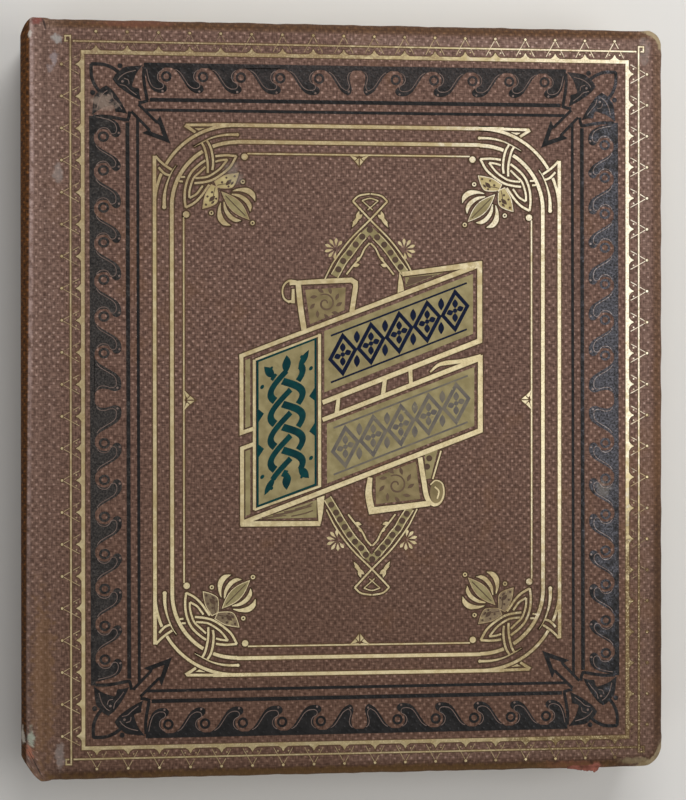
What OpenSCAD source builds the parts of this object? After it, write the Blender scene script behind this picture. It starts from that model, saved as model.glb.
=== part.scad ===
// Victorian cloth-bound scrap album, lying closed on its back cover.
// X runs from the spine to the fore-edge, Y from tail to head, Z up through the front cover.
// All sizes are millimetres. The origin is under the middle of the closed album.

/* [Boards] */
// Height of a covered board, from tail to head
cover_h = 296; // [220:1:380]
// Width of a bare board, from its joint edge to its fore-edge
board_w = 243.2; // [180:0.1:320]
// Thickness of a bare board
board_t = 3.8; // [3.2:0.1:6]
// Width of the bevel along head, tail and fore-edge
bevel_w = 5; // [2:0.1:9]
// Height that the bevel drops to the board's edge
bevel_d = 2.6; // [1:0.1:3]
// Radius of the two fore-edge corners
corner_r = 5; // [2:0.1:12]

/* [Cloth] */
// Thickness of the covering cloth
cloth_t = 0.5; // [0.3:0.05:0.8]
// Thickness of the cloth turned in over the inside of a board
turnin_t = 0.4; // [0.2:0.05:0.7]
// Width of the cloth turned in, from the covered edge
turnin_w = 15; // [8:0.5:25]
// Width of the bare cloth joint between spine and board
joint_w = 6.2; // [5.8:0.1:10]
// Depth of the groove pressed into the cloth joint
joint_sag = 1.1; // [0.4:0.1:2]

/* [Spine] */
// Width of the sewn stubs at the back of the leaves
stub_w = 2.75; // [1.5:0.05:5]
// Thickness of the card strip inside the spine cloth
strip_t = 0.8; // [0.4:0.05:1.5]
// Room between the card strip and the lined back
hollow_gap = 0.2; // [0.1:0.05:0.6]
// Thickness of the paper lining on the back
lining_t = 0.25; // [0.15:0.05:0.5]
// Thickness of the mull gauze on the back
mull_t = 0.25; // [0.15:0.05:0.5]
// Thickness of a sewing tape
tape_t = 0.35; // [0.2:0.05:0.6]
// Width of a sewing tape
tape_w = 14; // [8:1:20]
// Number of sewing tapes
tape_count = 3; // [2:1:4]
// Distance from head or tail of the leaves to the nearest kettle stitch
kettle_inset = 14; // [8:1:25]
// Thickness of the sewing thread
thread_d = 0.3; // [0.15:0.05:0.4]
// Thickness of a rolled headband
headband_d = 2.4; // [1.5:0.1:3.2]

/* [Leaves] */
// Number of card leaves
leaf_count = 24; // [12:2:30]
// Thickness of a card leaf
leaf_t = 0.6; // [0.3:0.05:1.2]
// Room left between leaves for pasted scraps
leaf_gap = 0.36; // [0.3:0.02:0.8]
// Margin of the boards beyond the leaves at head, tail and fore-edge
square = 4; // [3.5:0.1:8]
// Width of the linen guard that carries a leaf
guard_w = 10; // [7:0.5:16]
// Thickness of the linen guard
guard_t = 0.3; // [0.15:0.05:0.5]

/* [Endpapers] */
// Thickness of a flyleaf
flyleaf_t = 0.3; // [0.15:0.05:0.5]
// Thickness of a pastedown
pastedown_t = 0.2; // [0.1:0.05:0.4]
// Margin of cloth left bare round a pastedown
pastedown_margin = 5; // [3:0.5:8]
// Room between a pastedown and its flyleaf
end_gap = 0.3; // [0.3:0.05:0.6]
// Room round the levelling sheet inside the turned-in cloth
infill_gap = 0.3; // [0.1:0.05:1]

/* [Hidden] */
$fn = 64;

// Depth from the back of the spine to the hinge lines, which the round shoulders are centred on
spine_depth = cloth_t + strip_t + hollow_gap + lining_t + mull_t + tape_t + stub_w;
// Thickness of a covered board, of one end of the album up to its first leaf, and of the whole album
cover_t = cloth_t + board_t + turnin_t;
end_t = cover_t + pastedown_t + end_gap + flyleaf_t;
album_t = 2 * end_t + leaf_count * leaf_t + (leaf_count + 1) * leaf_gap;
album_w = spine_depth + joint_w + board_w + cloth_t;

// Places along X
fore_x = album_w / 2;
hinge_x = spine_depth - album_w / 2;
board_x0 = hinge_x + joint_w;
board_x1 = board_x0 + board_w;
stub_x = hinge_x - stub_w;
leaf_x0 = hinge_x + guard_w;
leaf_x1 = fore_x - square;

// Heights of the hinge lines, and of the lined part of the back
hinge_z = spine_depth;
lined_z = max(hinge_z, end_t - flyleaf_t);

board_h = cover_h - 2 * cloth_t;
leaf_h = cover_h - 2 * square;
half_count = leaf_count / 2;

cloth_colour = [0.45, 0.31, 0.27];
board_colour = [0.62, 0.56, 0.44];
paper_colour = [0.87, 0.80, 0.66];
linen_colour = [0.82, 0.77, 0.66];
band_colour = [0.62, 0.20, 0.18];

function leaf_name(i) = str("leaf_", i < 10 ? "0" : "", i);

// Sheet 0 is the front flyleaf, sheets 1 to leaf_count are the leaves, and the last is the back flyleaf
last_sheet = leaf_count + 1;
function is_flyleaf(i) = i == 0 || i == last_sheet;
function sheet_t(i) = is_flyleaf(i) ? flyleaf_t : leaf_t;
function guard_of(i) = is_flyleaf(i) ? flyleaf_t : guard_t;
function leaf_z(i) = album_t - end_t - i * leaf_gap - (i - 0.5) * leaf_t;
function sheet_z(i) =
    i == 0 ? album_t - end_t + flyleaf_t / 2
    : i == last_sheet ? end_t - flyleaf_t / 2
    : leaf_z(i);

// A box from its low corner to its high corner
module block(low, high) {
    translate(low) cube(high - low);
}

// Carries a section drawn in X and Z along Y, centred on Y = 0
module along_y(length) {
    rotate([90, 0, 0]) linear_extrude(length, center = true) children();
}

// Turns a front cover piece over to make the matching back cover piece
module turned_over() {
    translate([0, 0, album_t]) mirror([0, 0, 1]) children();
}

// A plate bevelled on its upper head, tail and fore-edge, with two round fore-edge corners
module bevelled_plate(x0, x1, half_h, z0, z1, radius) {
    edge_z = z1 - bevel_d;
    intersection() {
        along_y(2 * half_h)
            polygon([[x0, z0], [x1, z0], [x1, edge_z], [x1 - bevel_w, z1], [x0, z1]]);
        translate([x0, 0, 0]) rotate([90, 0, 90]) linear_extrude(x1 - x0)
            polygon([
                [-half_h, z0], [half_h, z0], [half_h, edge_z], [half_h - bevel_w, z1],
                [bevel_w - half_h, z1], [-half_h, edge_z]
            ]);
        translate([0, 0, z0]) linear_extrude(z1 - z0) {
            translate([x0, radius - half_h]) square([x1 - x0, 2 * (half_h - radius)]);
            translate([x0, -half_h]) square([x1 - x0 - radius, 2 * half_h]);
            for (side = [-1, 1]) translate([x1 - radius, side * (half_h - radius)]) circle(radius);
        }
    }
}

// Levels of the front cover, from its outside inwards
board_top = album_t - cloth_t;
board_under = board_top - board_t;
turnin_under = board_under - turnin_t;
pastedown_under = turnin_under - pastedown_t;

module front_board() {
    color(board_colour)
        bevelled_plate(board_x0, board_x1, board_h / 2, board_under, board_top, corner_r);
}

module front_cloth() {
    color(cloth_colour) difference() {
        bevelled_plate(
            board_x0, fore_x, cover_h / 2, turnin_under, album_t, corner_r + cloth_t);
        bevelled_plate(board_x0, board_x1, board_h / 2, board_under, board_top, corner_r);
        block(
            [board_x0 - 1, turnin_w - cover_h / 2, turnin_under - 1],
            [fore_x - turnin_w, cover_h / 2 - turnin_w, board_under]);
    }
}

module front_infill() {
    edge_y = cover_h / 2 - turnin_w - infill_gap;
    color(paper_colour) block(
        [board_x0, -edge_y, turnin_under],
        [fore_x - turnin_w - infill_gap, edge_y, board_under]);
}

module front_pastedown() {
    edge_y = cover_h / 2 - pastedown_margin;
    color(paper_colour) block(
        [board_x0, -edge_y, pastedown_under], [fore_x - pastedown_margin, edge_y, turnin_under]);
}

// Half of a round-ended slot about the two hinge lines, on the side away from the leaves
module spine_section(radius) {
    intersection() {
        union() {
            translate([hinge_x - radius, hinge_z]) square([radius, album_t - 2 * hinge_z]);
            for (z = [hinge_z, album_t - hinge_z]) translate([hinge_x, z]) circle(radius);
        }
        translate([hinge_x - spine_depth, 0]) square([spine_depth, album_t]);
    }
}

module spine_cloth() {
    inside = spine_depth - cloth_t;
    color(cloth_colour) {
        along_y(cover_h) difference() {
            spine_section(spine_depth);
            spine_section(inside);
        }
        // Ends of the cloth, turned over the card strip
        for (side = [-1, 1]) translate([0, side * (cover_h - cloth_t) / 2, 0]) along_y(cloth_t)
            difference() {
                spine_section(inside);
                spine_section(inside - strip_t);
            }
    }
}

module spine_strip() {
    outside = spine_depth - cloth_t;
    color(board_colour) along_y(board_h) difference() {
        spine_section(outside);
        spine_section(outside - strip_t);
    }
}

// A sheet of a given thickness laid on the back of the leaves, whose nearer face is at x1
module back_layer(x1, thickness, low_y, high_y) {
    block([x1 - thickness, low_y, lined_z], [x1, high_y, album_t - lined_z]);
}

module spine_lining() {
    color([0.55, 0.45, 0.32])
        back_layer(stub_x - tape_t - mull_t, lining_t, -leaf_h / 2, leaf_h / 2);
}

module mull() {
    edge_y = leaf_h / 2 - kettle_inset / 2;
    color(linen_colour) back_layer(stub_x - tape_t, mull_t, -edge_y, edge_y);
}

// Centres of the tapes, evenly spread between the kettle stitches
tape_pitch = (leaf_h - 2 * kettle_inset) / (tape_count + 1);
function tape_y(k) = (k - (tape_count + 1) / 2) * tape_pitch;

module sewing_tapes() {
    color(linen_colour) for (k = [1:tape_count])
        back_layer(stub_x, tape_t, tape_y(k) - tape_w / 2, tape_y(k) + tape_w / 2);
}

module sewing_thread() {
    beside = tape_w / 2 + thread_d;
    kettle_y = leaf_h / 2 - kettle_inset;
    stations = concat(
        [-kettle_y, kettle_y],
        [for (k = [1:tape_count], side = [-1, 1]) tape_y(k) + side * beside]);
    color([0.93, 0.90, 0.80]) for (y = stations)
        translate([stub_x - tape_t / 2, y, lined_z])
            cylinder(d = min(thread_d, tape_t), h = album_t - 2 * lined_z);
}

// Card strips that fill the back between the guards, to make room for what is pasted in
module spine_stubs() {
    color(board_colour) for (i = [0:leaf_count])
        block(
            [stub_x, -leaf_h / 2, sheet_z(i + 1) + guard_of(i + 1) / 2],
            [hinge_x, leaf_h / 2, sheet_z(i) - guard_of(i) / 2]);
}

module band(side) {
    color(band_colour)
        translate([stub_x + headband_d / 2, side * (leaf_h + headband_d) / 2, lined_z])
            cylinder(d = headband_d, h = album_t - 2 * lined_z);
}

// The cloth joint: a shallow trough from the spine's shoulder to the board's edge
module front_joint_cloth() {
    radius = (pow(joint_w / 2, 2) + pow(joint_sag, 2)) / (2 * joint_sag);
    centre_z = album_t - joint_sag + radius;
    color(cloth_colour) along_y(cover_h) intersection() {
        difference() {
            translate([hinge_x + joint_w / 2, centre_z]) circle(radius + cloth_t);
            translate([hinge_x + joint_w / 2, centre_z]) circle(radius);
        }
        translate([hinge_x, album_t - joint_sag - 2 * cloth_t])
            square([joint_w, joint_sag + 2 * cloth_t]);
    }
}

module front_inner_joint() {
    color(paper_colour) block(
        [hinge_x, -leaf_h / 2, pastedown_under], [board_x0, leaf_h / 2, turnin_under]);
}

module leaf_guards(first, last) {
    color(linen_colour) for (i = [first:last])
        block(
            [stub_x, -leaf_h / 2, sheet_z(i) - guard_of(i) / 2],
            [leaf_x0, leaf_h / 2, sheet_z(i) + guard_of(i) / 2]);
}

module sheet(i) {
    color(paper_colour) block(
        [leaf_x0, -leaf_h / 2, sheet_z(i) - sheet_t(i) / 2],
        [leaf_x1, leaf_h / 2, sheet_z(i) + sheet_t(i) / 2]);
}

front_board();
front_cloth();
front_infill();
front_pastedown();
turned_over() front_board();  // back_board
turned_over() front_cloth();  // back_cloth
turned_over() front_infill();  // back_infill
turned_over() front_pastedown();  // back_pastedown
spine_cloth();
spine_strip();
spine_lining();
mull();
sewing_tapes();
sewing_thread();
spine_stubs();
band(1);  // headband
band(-1);  // tailband
front_joint_cloth();
turned_over() front_joint_cloth();  // back_joint_cloth
front_inner_joint();
turned_over() front_inner_joint();  // back_inner_joint
leaf_guards(0, half_count);  // front_leaf_guards
leaf_guards(half_count + 1, last_sheet);  // back_leaf_guards
sheet(0);  // front_flyleaf
sheet(last_sheet);  // back_flyleaf
for (i = [1:leaf_count])
    sheet(i);
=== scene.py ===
import math

import bpy
import numpy as np
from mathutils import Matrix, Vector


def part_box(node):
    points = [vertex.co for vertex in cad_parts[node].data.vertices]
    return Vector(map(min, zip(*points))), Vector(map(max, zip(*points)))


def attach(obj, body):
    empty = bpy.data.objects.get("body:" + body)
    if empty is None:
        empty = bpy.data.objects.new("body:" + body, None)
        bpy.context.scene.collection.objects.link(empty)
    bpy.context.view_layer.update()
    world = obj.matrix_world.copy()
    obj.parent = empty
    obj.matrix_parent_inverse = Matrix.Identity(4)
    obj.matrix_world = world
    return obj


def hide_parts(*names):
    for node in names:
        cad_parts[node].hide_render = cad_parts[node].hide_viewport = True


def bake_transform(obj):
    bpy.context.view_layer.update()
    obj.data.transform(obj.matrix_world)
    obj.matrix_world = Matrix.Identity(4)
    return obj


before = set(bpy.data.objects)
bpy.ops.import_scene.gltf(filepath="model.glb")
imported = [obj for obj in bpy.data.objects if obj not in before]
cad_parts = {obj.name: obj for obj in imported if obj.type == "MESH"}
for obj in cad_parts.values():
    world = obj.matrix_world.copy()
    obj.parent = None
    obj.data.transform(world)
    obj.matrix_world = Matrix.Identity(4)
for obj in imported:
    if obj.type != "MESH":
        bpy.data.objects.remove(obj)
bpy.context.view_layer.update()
mm = 0.001
rng = np.random.default_rng(1880)
scene = bpy.context.scene

# Places taken from the CAD nodes, in metres
coverLow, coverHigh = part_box("front_cloth")
spineLow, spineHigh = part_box("spine_cloth")
album = {
    "top": coverHigh.z, "inside": coverLow.z, "foreX": coverHigh.x, "boardX": coverLow.x, "halfH": coverHigh.y,
    "spineX": spineLow.x, "hingeX": spineHigh.x, "depth": spineHigh.x - spineLow.x,
}
leafCount = 24


# Mesh helpers

def gridFaces(rows, cols):
    # One quad for each cell of a grid whose points are stored row by row
    i = np.arange(rows - 1)[:, None] * cols + np.arange(cols - 1)[None]
    return np.stack([i, i + 1, i + cols + 1, i + cols], -1).reshape(-1, 4)


def closedFaces(rows, cols):
    # Two like grids, the outer one first, turned away from each other and joined by a wall round the rim
    size, face = rows * cols, gridFaces(rows, cols)
    rim = np.concatenate([
        np.arange(rows) * cols, (rows - 1) * cols + np.arange(1, cols),
        np.arange(rows - 2, -1, -1) * cols + cols - 1, np.arange(cols - 2, 0, -1)])
    after = np.roll(rim, -1)
    return np.concatenate([face[:, ::-1], face + size, np.stack([rim, after, after + size, rim + size], -1)])


def addPiece(name, points, faces, material, uv=None, values=None, smooth=True):
    mesh = bpy.data.meshes.new(name)
    mesh.from_pydata(np.asarray(points, float).tolist(), [], [list(f) for f in faces])
    mesh.update()
    mesh.polygons.foreach_set("use_smooth", np.full(len(mesh.polygons), smooth))
    corner = np.empty(len(mesh.loops), np.int32)
    mesh.loops.foreach_get("vertex_index", corner)
    if uv is not None:
        layer = mesh.uv_layers.new(name="clothUv")
        layer.data.foreach_set("uv", np.asarray(uv, np.float32)[corner].ravel())
    for key, value in (values or {}).items():
        layer = mesh.attributes.new(key, "FLOAT", "POINT")
        layer.data.foreach_set("value", np.asarray(value, np.float32))
    mesh.materials.append(material)
    made = bpy.data.objects.new(name, mesh)
    scene.collection.objects.link(made)
    return made


def thicken(piece, wall):
    # Gives a flat piece a wall on the side that its faces turn away from
    made = piece.modifiers.new("thickness", "SOLIDIFY")
    made.thickness, made.offset = wall, -1.0


def smoothStep(x, low, high):
    t = np.clip((x - low) / (high - low), 0, 1)
    return t * t * (3 - 2 * t)


# Node helpers. A Flow holds a node's output, so that sums of outputs read as plain sums

class Flow:
    def __init__(self, socket):
        self.socket, self.tree = socket, socket.id_data

    def __add__(self, other):
        return calc("ADD", self, other)

    def __sub__(self, other):
        return calc("SUBTRACT", self, other)

    def __rsub__(self, other):
        return calc("SUBTRACT", other, self)

    def __mul__(self, other):
        return calc("MULTIPLY", self, other)

    def __truediv__(self, other):
        return calc("DIVIDE", self, other)


def feed(socket, value):
    if isinstance(value, Flow):
        value.tree.links.new(value.socket, socket)
    else:
        socket.default_value = value


def addNode(tree, kind, inputs, **settings):
    node = tree.nodes.new("ShaderNode" + kind)
    for key, value in settings.items():
        setattr(node, key, value)
    for key, value in inputs.items():
        feed(node.inputs[key], value)
    return {k: Flow(s) for k, s in [*enumerate(node.outputs), *node.outputs.items()]}


def treeOf(values):
    return next(v.tree for v in values if isinstance(v, Flow))


def calc(operation, *values, kind="Math"):
    return addNode(treeOf(values), kind, dict(enumerate(values)), operation=operation)[0]


def vectorCalc(operation, *values):
    return calc(operation, *values, kind="VectorMath")


def axes(place):
    parts = addNode(place.tree, "SeparateXYZ", {0: place})
    return [parts[k] for k in range(3)]


def remap(value, low, high, toLow=0.0, toHigh=1.0):
    limits = dict(enumerate((value, low, high, toLow, toHigh)))
    return addNode(value.tree, "MapRange", limits, interpolation_type="SMOOTHSTEP")[0]


def tint(r, g, b):
    # Linear colour from the usual 0 to 255 screen values
    c = np.array([r, g, b]) / 255
    c = np.where(c <= 0.04045, c / 12.92, ((c + 0.055) / 1.055) ** 2.4)
    return (*c.tolist(), 1.0)


def mixed(share, first, second):
    # A colour between two others, each a Flow or a triple of screen values
    first, second = (v if isinstance(v, Flow) else tint(*v) for v in (first, second))
    return addNode(share.tree, "Mix", {0: share, 6: first, 7: second}, data_type="RGBA")[2]


def cloud(place, scale, detail=3.0, rough=0.5):
    given = {"Vector": place, "Scale": scale, "Detail": detail, "Roughness": rough}
    return addNode(place.tree, "TexNoise", given)["Fac"]


def newGroup(name, inputs, outputs):
    tree = bpy.data.node_groups.new(name, "ShaderNodeTree")
    kinds = {"v": "NodeSocketVector", "f": "NodeSocketFloat", "c": "NodeSocketColor"}
    for way, sockets in (("INPUT", inputs), ("OUTPUT", outputs)):
        for key, kind in sockets.items():
            tree.interface.new_socket(key, in_out=way, socket_type=kinds[kind])
    given = tree.nodes.new("NodeGroupInput").outputs
    return tree, [Flow(given[key]) for key in inputs], tree.nodes.new("NodeGroupOutput").inputs


def useGroup(group, **values):
    return addNode(treeOf(values.values()), "Group", values, node_tree=group)


def newMaterial(name, **plain):
    made = bpy.data.materials.new(name)
    made.use_nodes = True
    shader = made.node_tree.nodes["Principled BSDF"]
    for key, value in plain.items():
        shader.inputs[key.replace("_", " ")].default_value = value
    return made, made.node_tree, shader.inputs


def objectPlace(tree):
    return addNode(tree, "TexCoord", {})["Object"]


def flatPlace(tree):
    return vectorCalc("MULTIPLY", objectPlace(tree), (1.0, 1.0, 0.0))


def uvPlace(tree):
    return addNode(tree, "UVMap", {}, uv_map="clothUv")[0]


def pieceValue(tree, name):
    return addNode(tree, "Attribute", {}, attribute_name=name)["Fac"]


def bump(height, strength, distance):
    return addNode(height.tree, "Bump", {"Height": height, "Strength": strength, "Distance": distance})[0]


# Shared surface effects. The scale of a noise is in turns per metre

def makeBeadGrain():
    # Beads in staggered rows: the product of two cosines is highest at every other crossing of the grid,
    # its square keeps each bead small, the pits between are weaker, and a noise makes some beads prouder.
    # The weave is two noises, each stretched along one set of threads
    form = {"wanderScale": 160.0, "wander": (0.0003, 0.0003, 0.0), "pit": 0.4, "pitLoss": 0.2, "threadScale": 300.0,
            "threads": ((1.0, 5.0, 1.0), (5.0, 1.0, 1.0))}
    tree, (place, *pitch), out = newGroup(
        "beadGrain", {"Place": "v", "Across": "f", "Along": "f"}, {"Bead": "f", "Weave": "f"})
    stray = addNode(tree, "TexNoise", {"Vector": place, "Scale": form["wanderScale"]})["Color"]
    spot = axes(vectorCalc("MULTIPLY_ADD", stray, form["wander"], place))
    waves = [calc("COSINE", x * math.pi / step) for x, step in zip(spot, pitch)]
    both = waves[0] * waves[1]
    proud, sunk = calc("MAXIMUM", both, 0.0), calc("MINIMUM", both, 0.0)
    uneven = remap(cloud(place, 460.0, 2.0, 0.6), 0.36, 0.66, 0.45, 1.25)
    uneven = uneven * remap(cloud(place, 16.0, 2.0), 0.36, 0.64, 0.7, 1.15)
    pits = sunk * sunk * (form["pit"] - uneven * form["pitLoss"])
    feed(out["Bead"], remap(proud * proud * uneven - pits, -0.35, 1.0))
    threads = [cloud(vectorCalc("MULTIPLY", place, way), form["threadScale"], 3.0, 0.6) for way in form["threads"]]
    feed(out["Weave"], (threads[0] + threads[1]) * 0.5)
    return tree


def makePatches():
    # Uneven patches: coarse noise, broken up by finer noise, above a level set by the wanted share
    form = {"coarse": 0.7, "fine": 0.3, "finer": 9.0, "level": 0.72, "fall": 0.44, "soft": 0.1}
    tree, (place, size, share), out = newGroup("patches", {"Place": "v", "Size": "f", "Share": "f"}, {"Mask": "f"})
    scale = calc("DIVIDE", 1.0, size)
    coarse, fine = cloud(place, scale, 4.0, 0.6), cloud(place, scale * form["finer"], 2.0)
    level = form["level"] - share * form["fall"]
    feed(out["Mask"], remap(coarse * form["coarse"] + fine * form["fine"], level, level + form["soft"]))
    return tree


def makePaperTone():
    # Toned paper: broad browning, brown specks and fine fibres
    form = {"broad": 0.55, "specks": 0.5, "fibres": 1800.0}
    tree, (place, paper, age), out = newGroup(
        "paperTone", {"Place": "v", "Paper": "c", "Age": "c"}, {"Colour": "c", "Fibre": "f"})
    broad = remap(cloud(place, 14.0, 4.0), 0.35, 0.7)
    specks = remap(cloud(place, 420.0, 1.0), 0.66, 0.74)
    share = calc("MINIMUM", broad * form["broad"] + specks * form["specks"], 1.0)
    feed(out["Colour"], mixed(share, paper, age))
    feed(out["Fibre"], cloud(place, form["fibres"], 3.0))
    return tree


def makeWearAndLightSpot():
    # One spot, for wear and for painted light and shade: distance from its middle in its own half sizes, leaning with
    # height, with a ragged edge
    form = {"ragScale": 330.0, "rag": 2.6, "edge": (0.5, 1.25)}
    tree, (place, middle, size, lean), out = newGroup(
        "wearAndLightSpot", {"Place": "v", "Middle": "v", "Size": "v", "Lean": "f"}, {"Mask": "f"})
    x, y, _ = axes(vectorCalc("SUBTRACT", place, middle))
    halfW, halfH, _ = axes(size)
    across, along = (x + y * lean) / halfW, y / halfH
    far = calc("SQRT", across * across + along * along)
    ragged = far + (cloud(place, form["ragScale"], 5.0, 0.6) - 0.5) * form["rag"]
    feed(out["Mask"], 1.0 - remap(ragged, *form["edge"]))
    return tree


beadGrain = makeBeadGrain()
patches = makePatches()
paperTone = makePaperTone()
wearAndLightSpot = makeWearAndLightSpot()
scuffing = {"Size": 0.03, "Share": 0.13}
grainPitch = {"Across": 1.685 * mm, "Along": 1.63 * mm}


# Worn places, and some places of painted light and shade, in millimetres: middle across and up, half width, half
# height, lean, strength, colour
# Among these, the darkest brown spots are painted shadows in the cracks at the torn ends of the spine and painted
# shade on the lower fore-edge bevel, and a strip along the head edge is darker
spineSpots = [
    (-123.7, -131.5, 1.5, 4.4, 0.0, .8, (160, 166, 150)), (-124.2, -139.2, 1.9, 3.2, 0.0, .75, (170, 108, 84)),
    (-128.0, -133.0, 1.5, 5.5, 0.0, .8, (184, 176, 164)), (-125.8, -130.5, .5, 4.0, 0.0, .75, (44, 30, 22)),
    (-121.7, -143.1, .55, 3.8, .8, .9, (34, 22, 16)),
    (-121.0, 146.8, 2.3, 1.7, 0.0, .65, (122, 52, 46)), (-118.4, 145.6, .45, 1.9, .3, .9, (40, 24, 18)),
    (-123.8, 142.2, .9, 1.4, 0.0, .7, (204, 196, 186)), (100.0, -147.0, 2.6, 1.6, 0.0, .8, (176, 106, 94)),
    (117.0, -145.4, 8.0, 1.7, 0.0, .6, (150, 134, 102)), (90.0, -146.2, 11.0, 2.0, 0.0, .5, (128, 78, 62)),
    (119.5, 139.5, 2.6, 5.0, 0.0, .3, (146, 136, 130)), (-84.0, 146.6, 16.0, 1.6, 0.0, .4, (126, 74, 58)),
    (126.0, -95.0, 3.4, 62.0, 0.0, .4, (48, 30, 16)), (0.0, 147.0, 130.0, 2.6, 0.0, .25, (50, 32, 18)),
    (0.0, -147.0, 130.0, 2.6, 0.0, .35, (112, 84, 40)),
]
boardSpots = [
    (-113.2, 139.8, 2.2, 1.7, 0.0, .6, (166, 164, 160)), (-114.4, 132.6, 1.6, 2.6, 0.0, .5, (154, 144, 146)),
    (-116.2, 128.0, 1.3, 1.8, 0.0, .4, (148, 136, 136)),
    (-112.8, 87.8, 2.1, 4.2, 0.0, .45, (148, 138, 132)), (-95.5, 115.4, 4.8, 3.4, 0.0, .6, (148, 128, 114)),
    (-45.0, 88.0, 3.5, 4.5, .3, .3, (140, 132, 124)), (103.0, -36.0, 3.0, 3.4, 0.0, .3, (142, 132, 120)),
    (-119.0, -108.0, 5.0, 34.0, 0.0, .45, (118, 86, 54)), (-112.4, -138.0, 2.0, 5.5, 0.0, .4, (146, 138, 134)),
]
# Dull worn patches of the gold, and bright pale tones that are painted highlights on the gold
goldWearAndHighlights = [
    (-50.0, 137.0, 90.0, 9.0, 0.0, .75, (126, 103, 76)), (10.0, -137.0, 170.0, 9.0, 0.0, .45, (112, 94, 64)),
    (100.0, -137.0, 34.0, 9.0, 0.0, .85, (100, 82, 54)), (117.0, -106.0, 13.0, 66.0, 0.0, .95, (96, 77, 52)),
    (-106.0, 60.0, 9.0, 130.0, 0.0, .35, (134, 110, 88)), (114.0, 75.0, 12.0, 100.0, 0.0, .75, (255, 246, 226)),
    (-6.0, 103.0, 66.0, 10.0, 0.0, .45, (150, 126, 90)), (82.0, -92.0, 30.0, 46.0, 0.0, .6, (116, 96, 62)),
    (-60.0, 90.0, 34.0, 30.0, 0.0, .5, (146, 123, 92)), (68.0, 86.0, 30.0, 34.0, 0.0, .6, (255, 246, 222)),
    (-58.0, -84.0, 34.0, 34.0, 0.0, .5, (250, 236, 190)), (79.0, 5.0, 12.0, 90.0, 0.0, .5, (255, 244, 214)),
    (0.0, -104.0, 60.0, 9.0, 0.0, .35, (244, 228, 186)), (24.0, -12.0, 72.0, 54.0, -.3, .34, (255, 240, 194)),
    (92.0, 141.0, 44.0, 9.0, 0.0, .6, (255, 242, 214)),
]
lostLeaves = [(59.0, -82.0, 12.0, 12.0, 0.0, .9, (112, 94, 76)), (-50.0, -82.0, 12.0, 12.0, 0.0, .9, (112, 95, 78))]
lostDarts = [
    (-84.0, 137.0, 46.0, 15.0, 0.0, .85, (118, 93, 80)), (122.0, -108.0, 16.0, 74.0, 0.0, 1.0, (98, 75, 61)),
]
paleVeins = [(103.5, 20.0, 9.5, 116.0, 0.0, .9, (176, 168, 166))]
# Grey patches on the black; the one over the right side is painted sheen and glints on the black
greyBlack = [
    (103.5, 20.0, 8.5, 116.0, 0.0, .6, (128, 127, 136)), (-96.0, 0.0, 10.0, 124.0, 0.0, .35, (116, 108, 102)),
    (20.0, 128.0, 90.0, 7.0, 0.0, .25, (120, 106, 102)),
]


def addWearAndLight(place, colour, spots, speck=1.0):
    # Each spot mixes in its colour: worn places, and painted light and shade where a list holds them
    for x, y, w, h, lean, share, tone in spots:
        middle, size = (x * mm, y * mm, 0.0), (w * mm, h * mm, 1.0)
        mask = useGroup(wearAndLightSpot, Place=place, Middle=middle, Size=size, Lean=lean)["Mask"]
        colour = mixed(mask * share * speck, colour, tone)
    return colour


# Finishes

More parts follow.
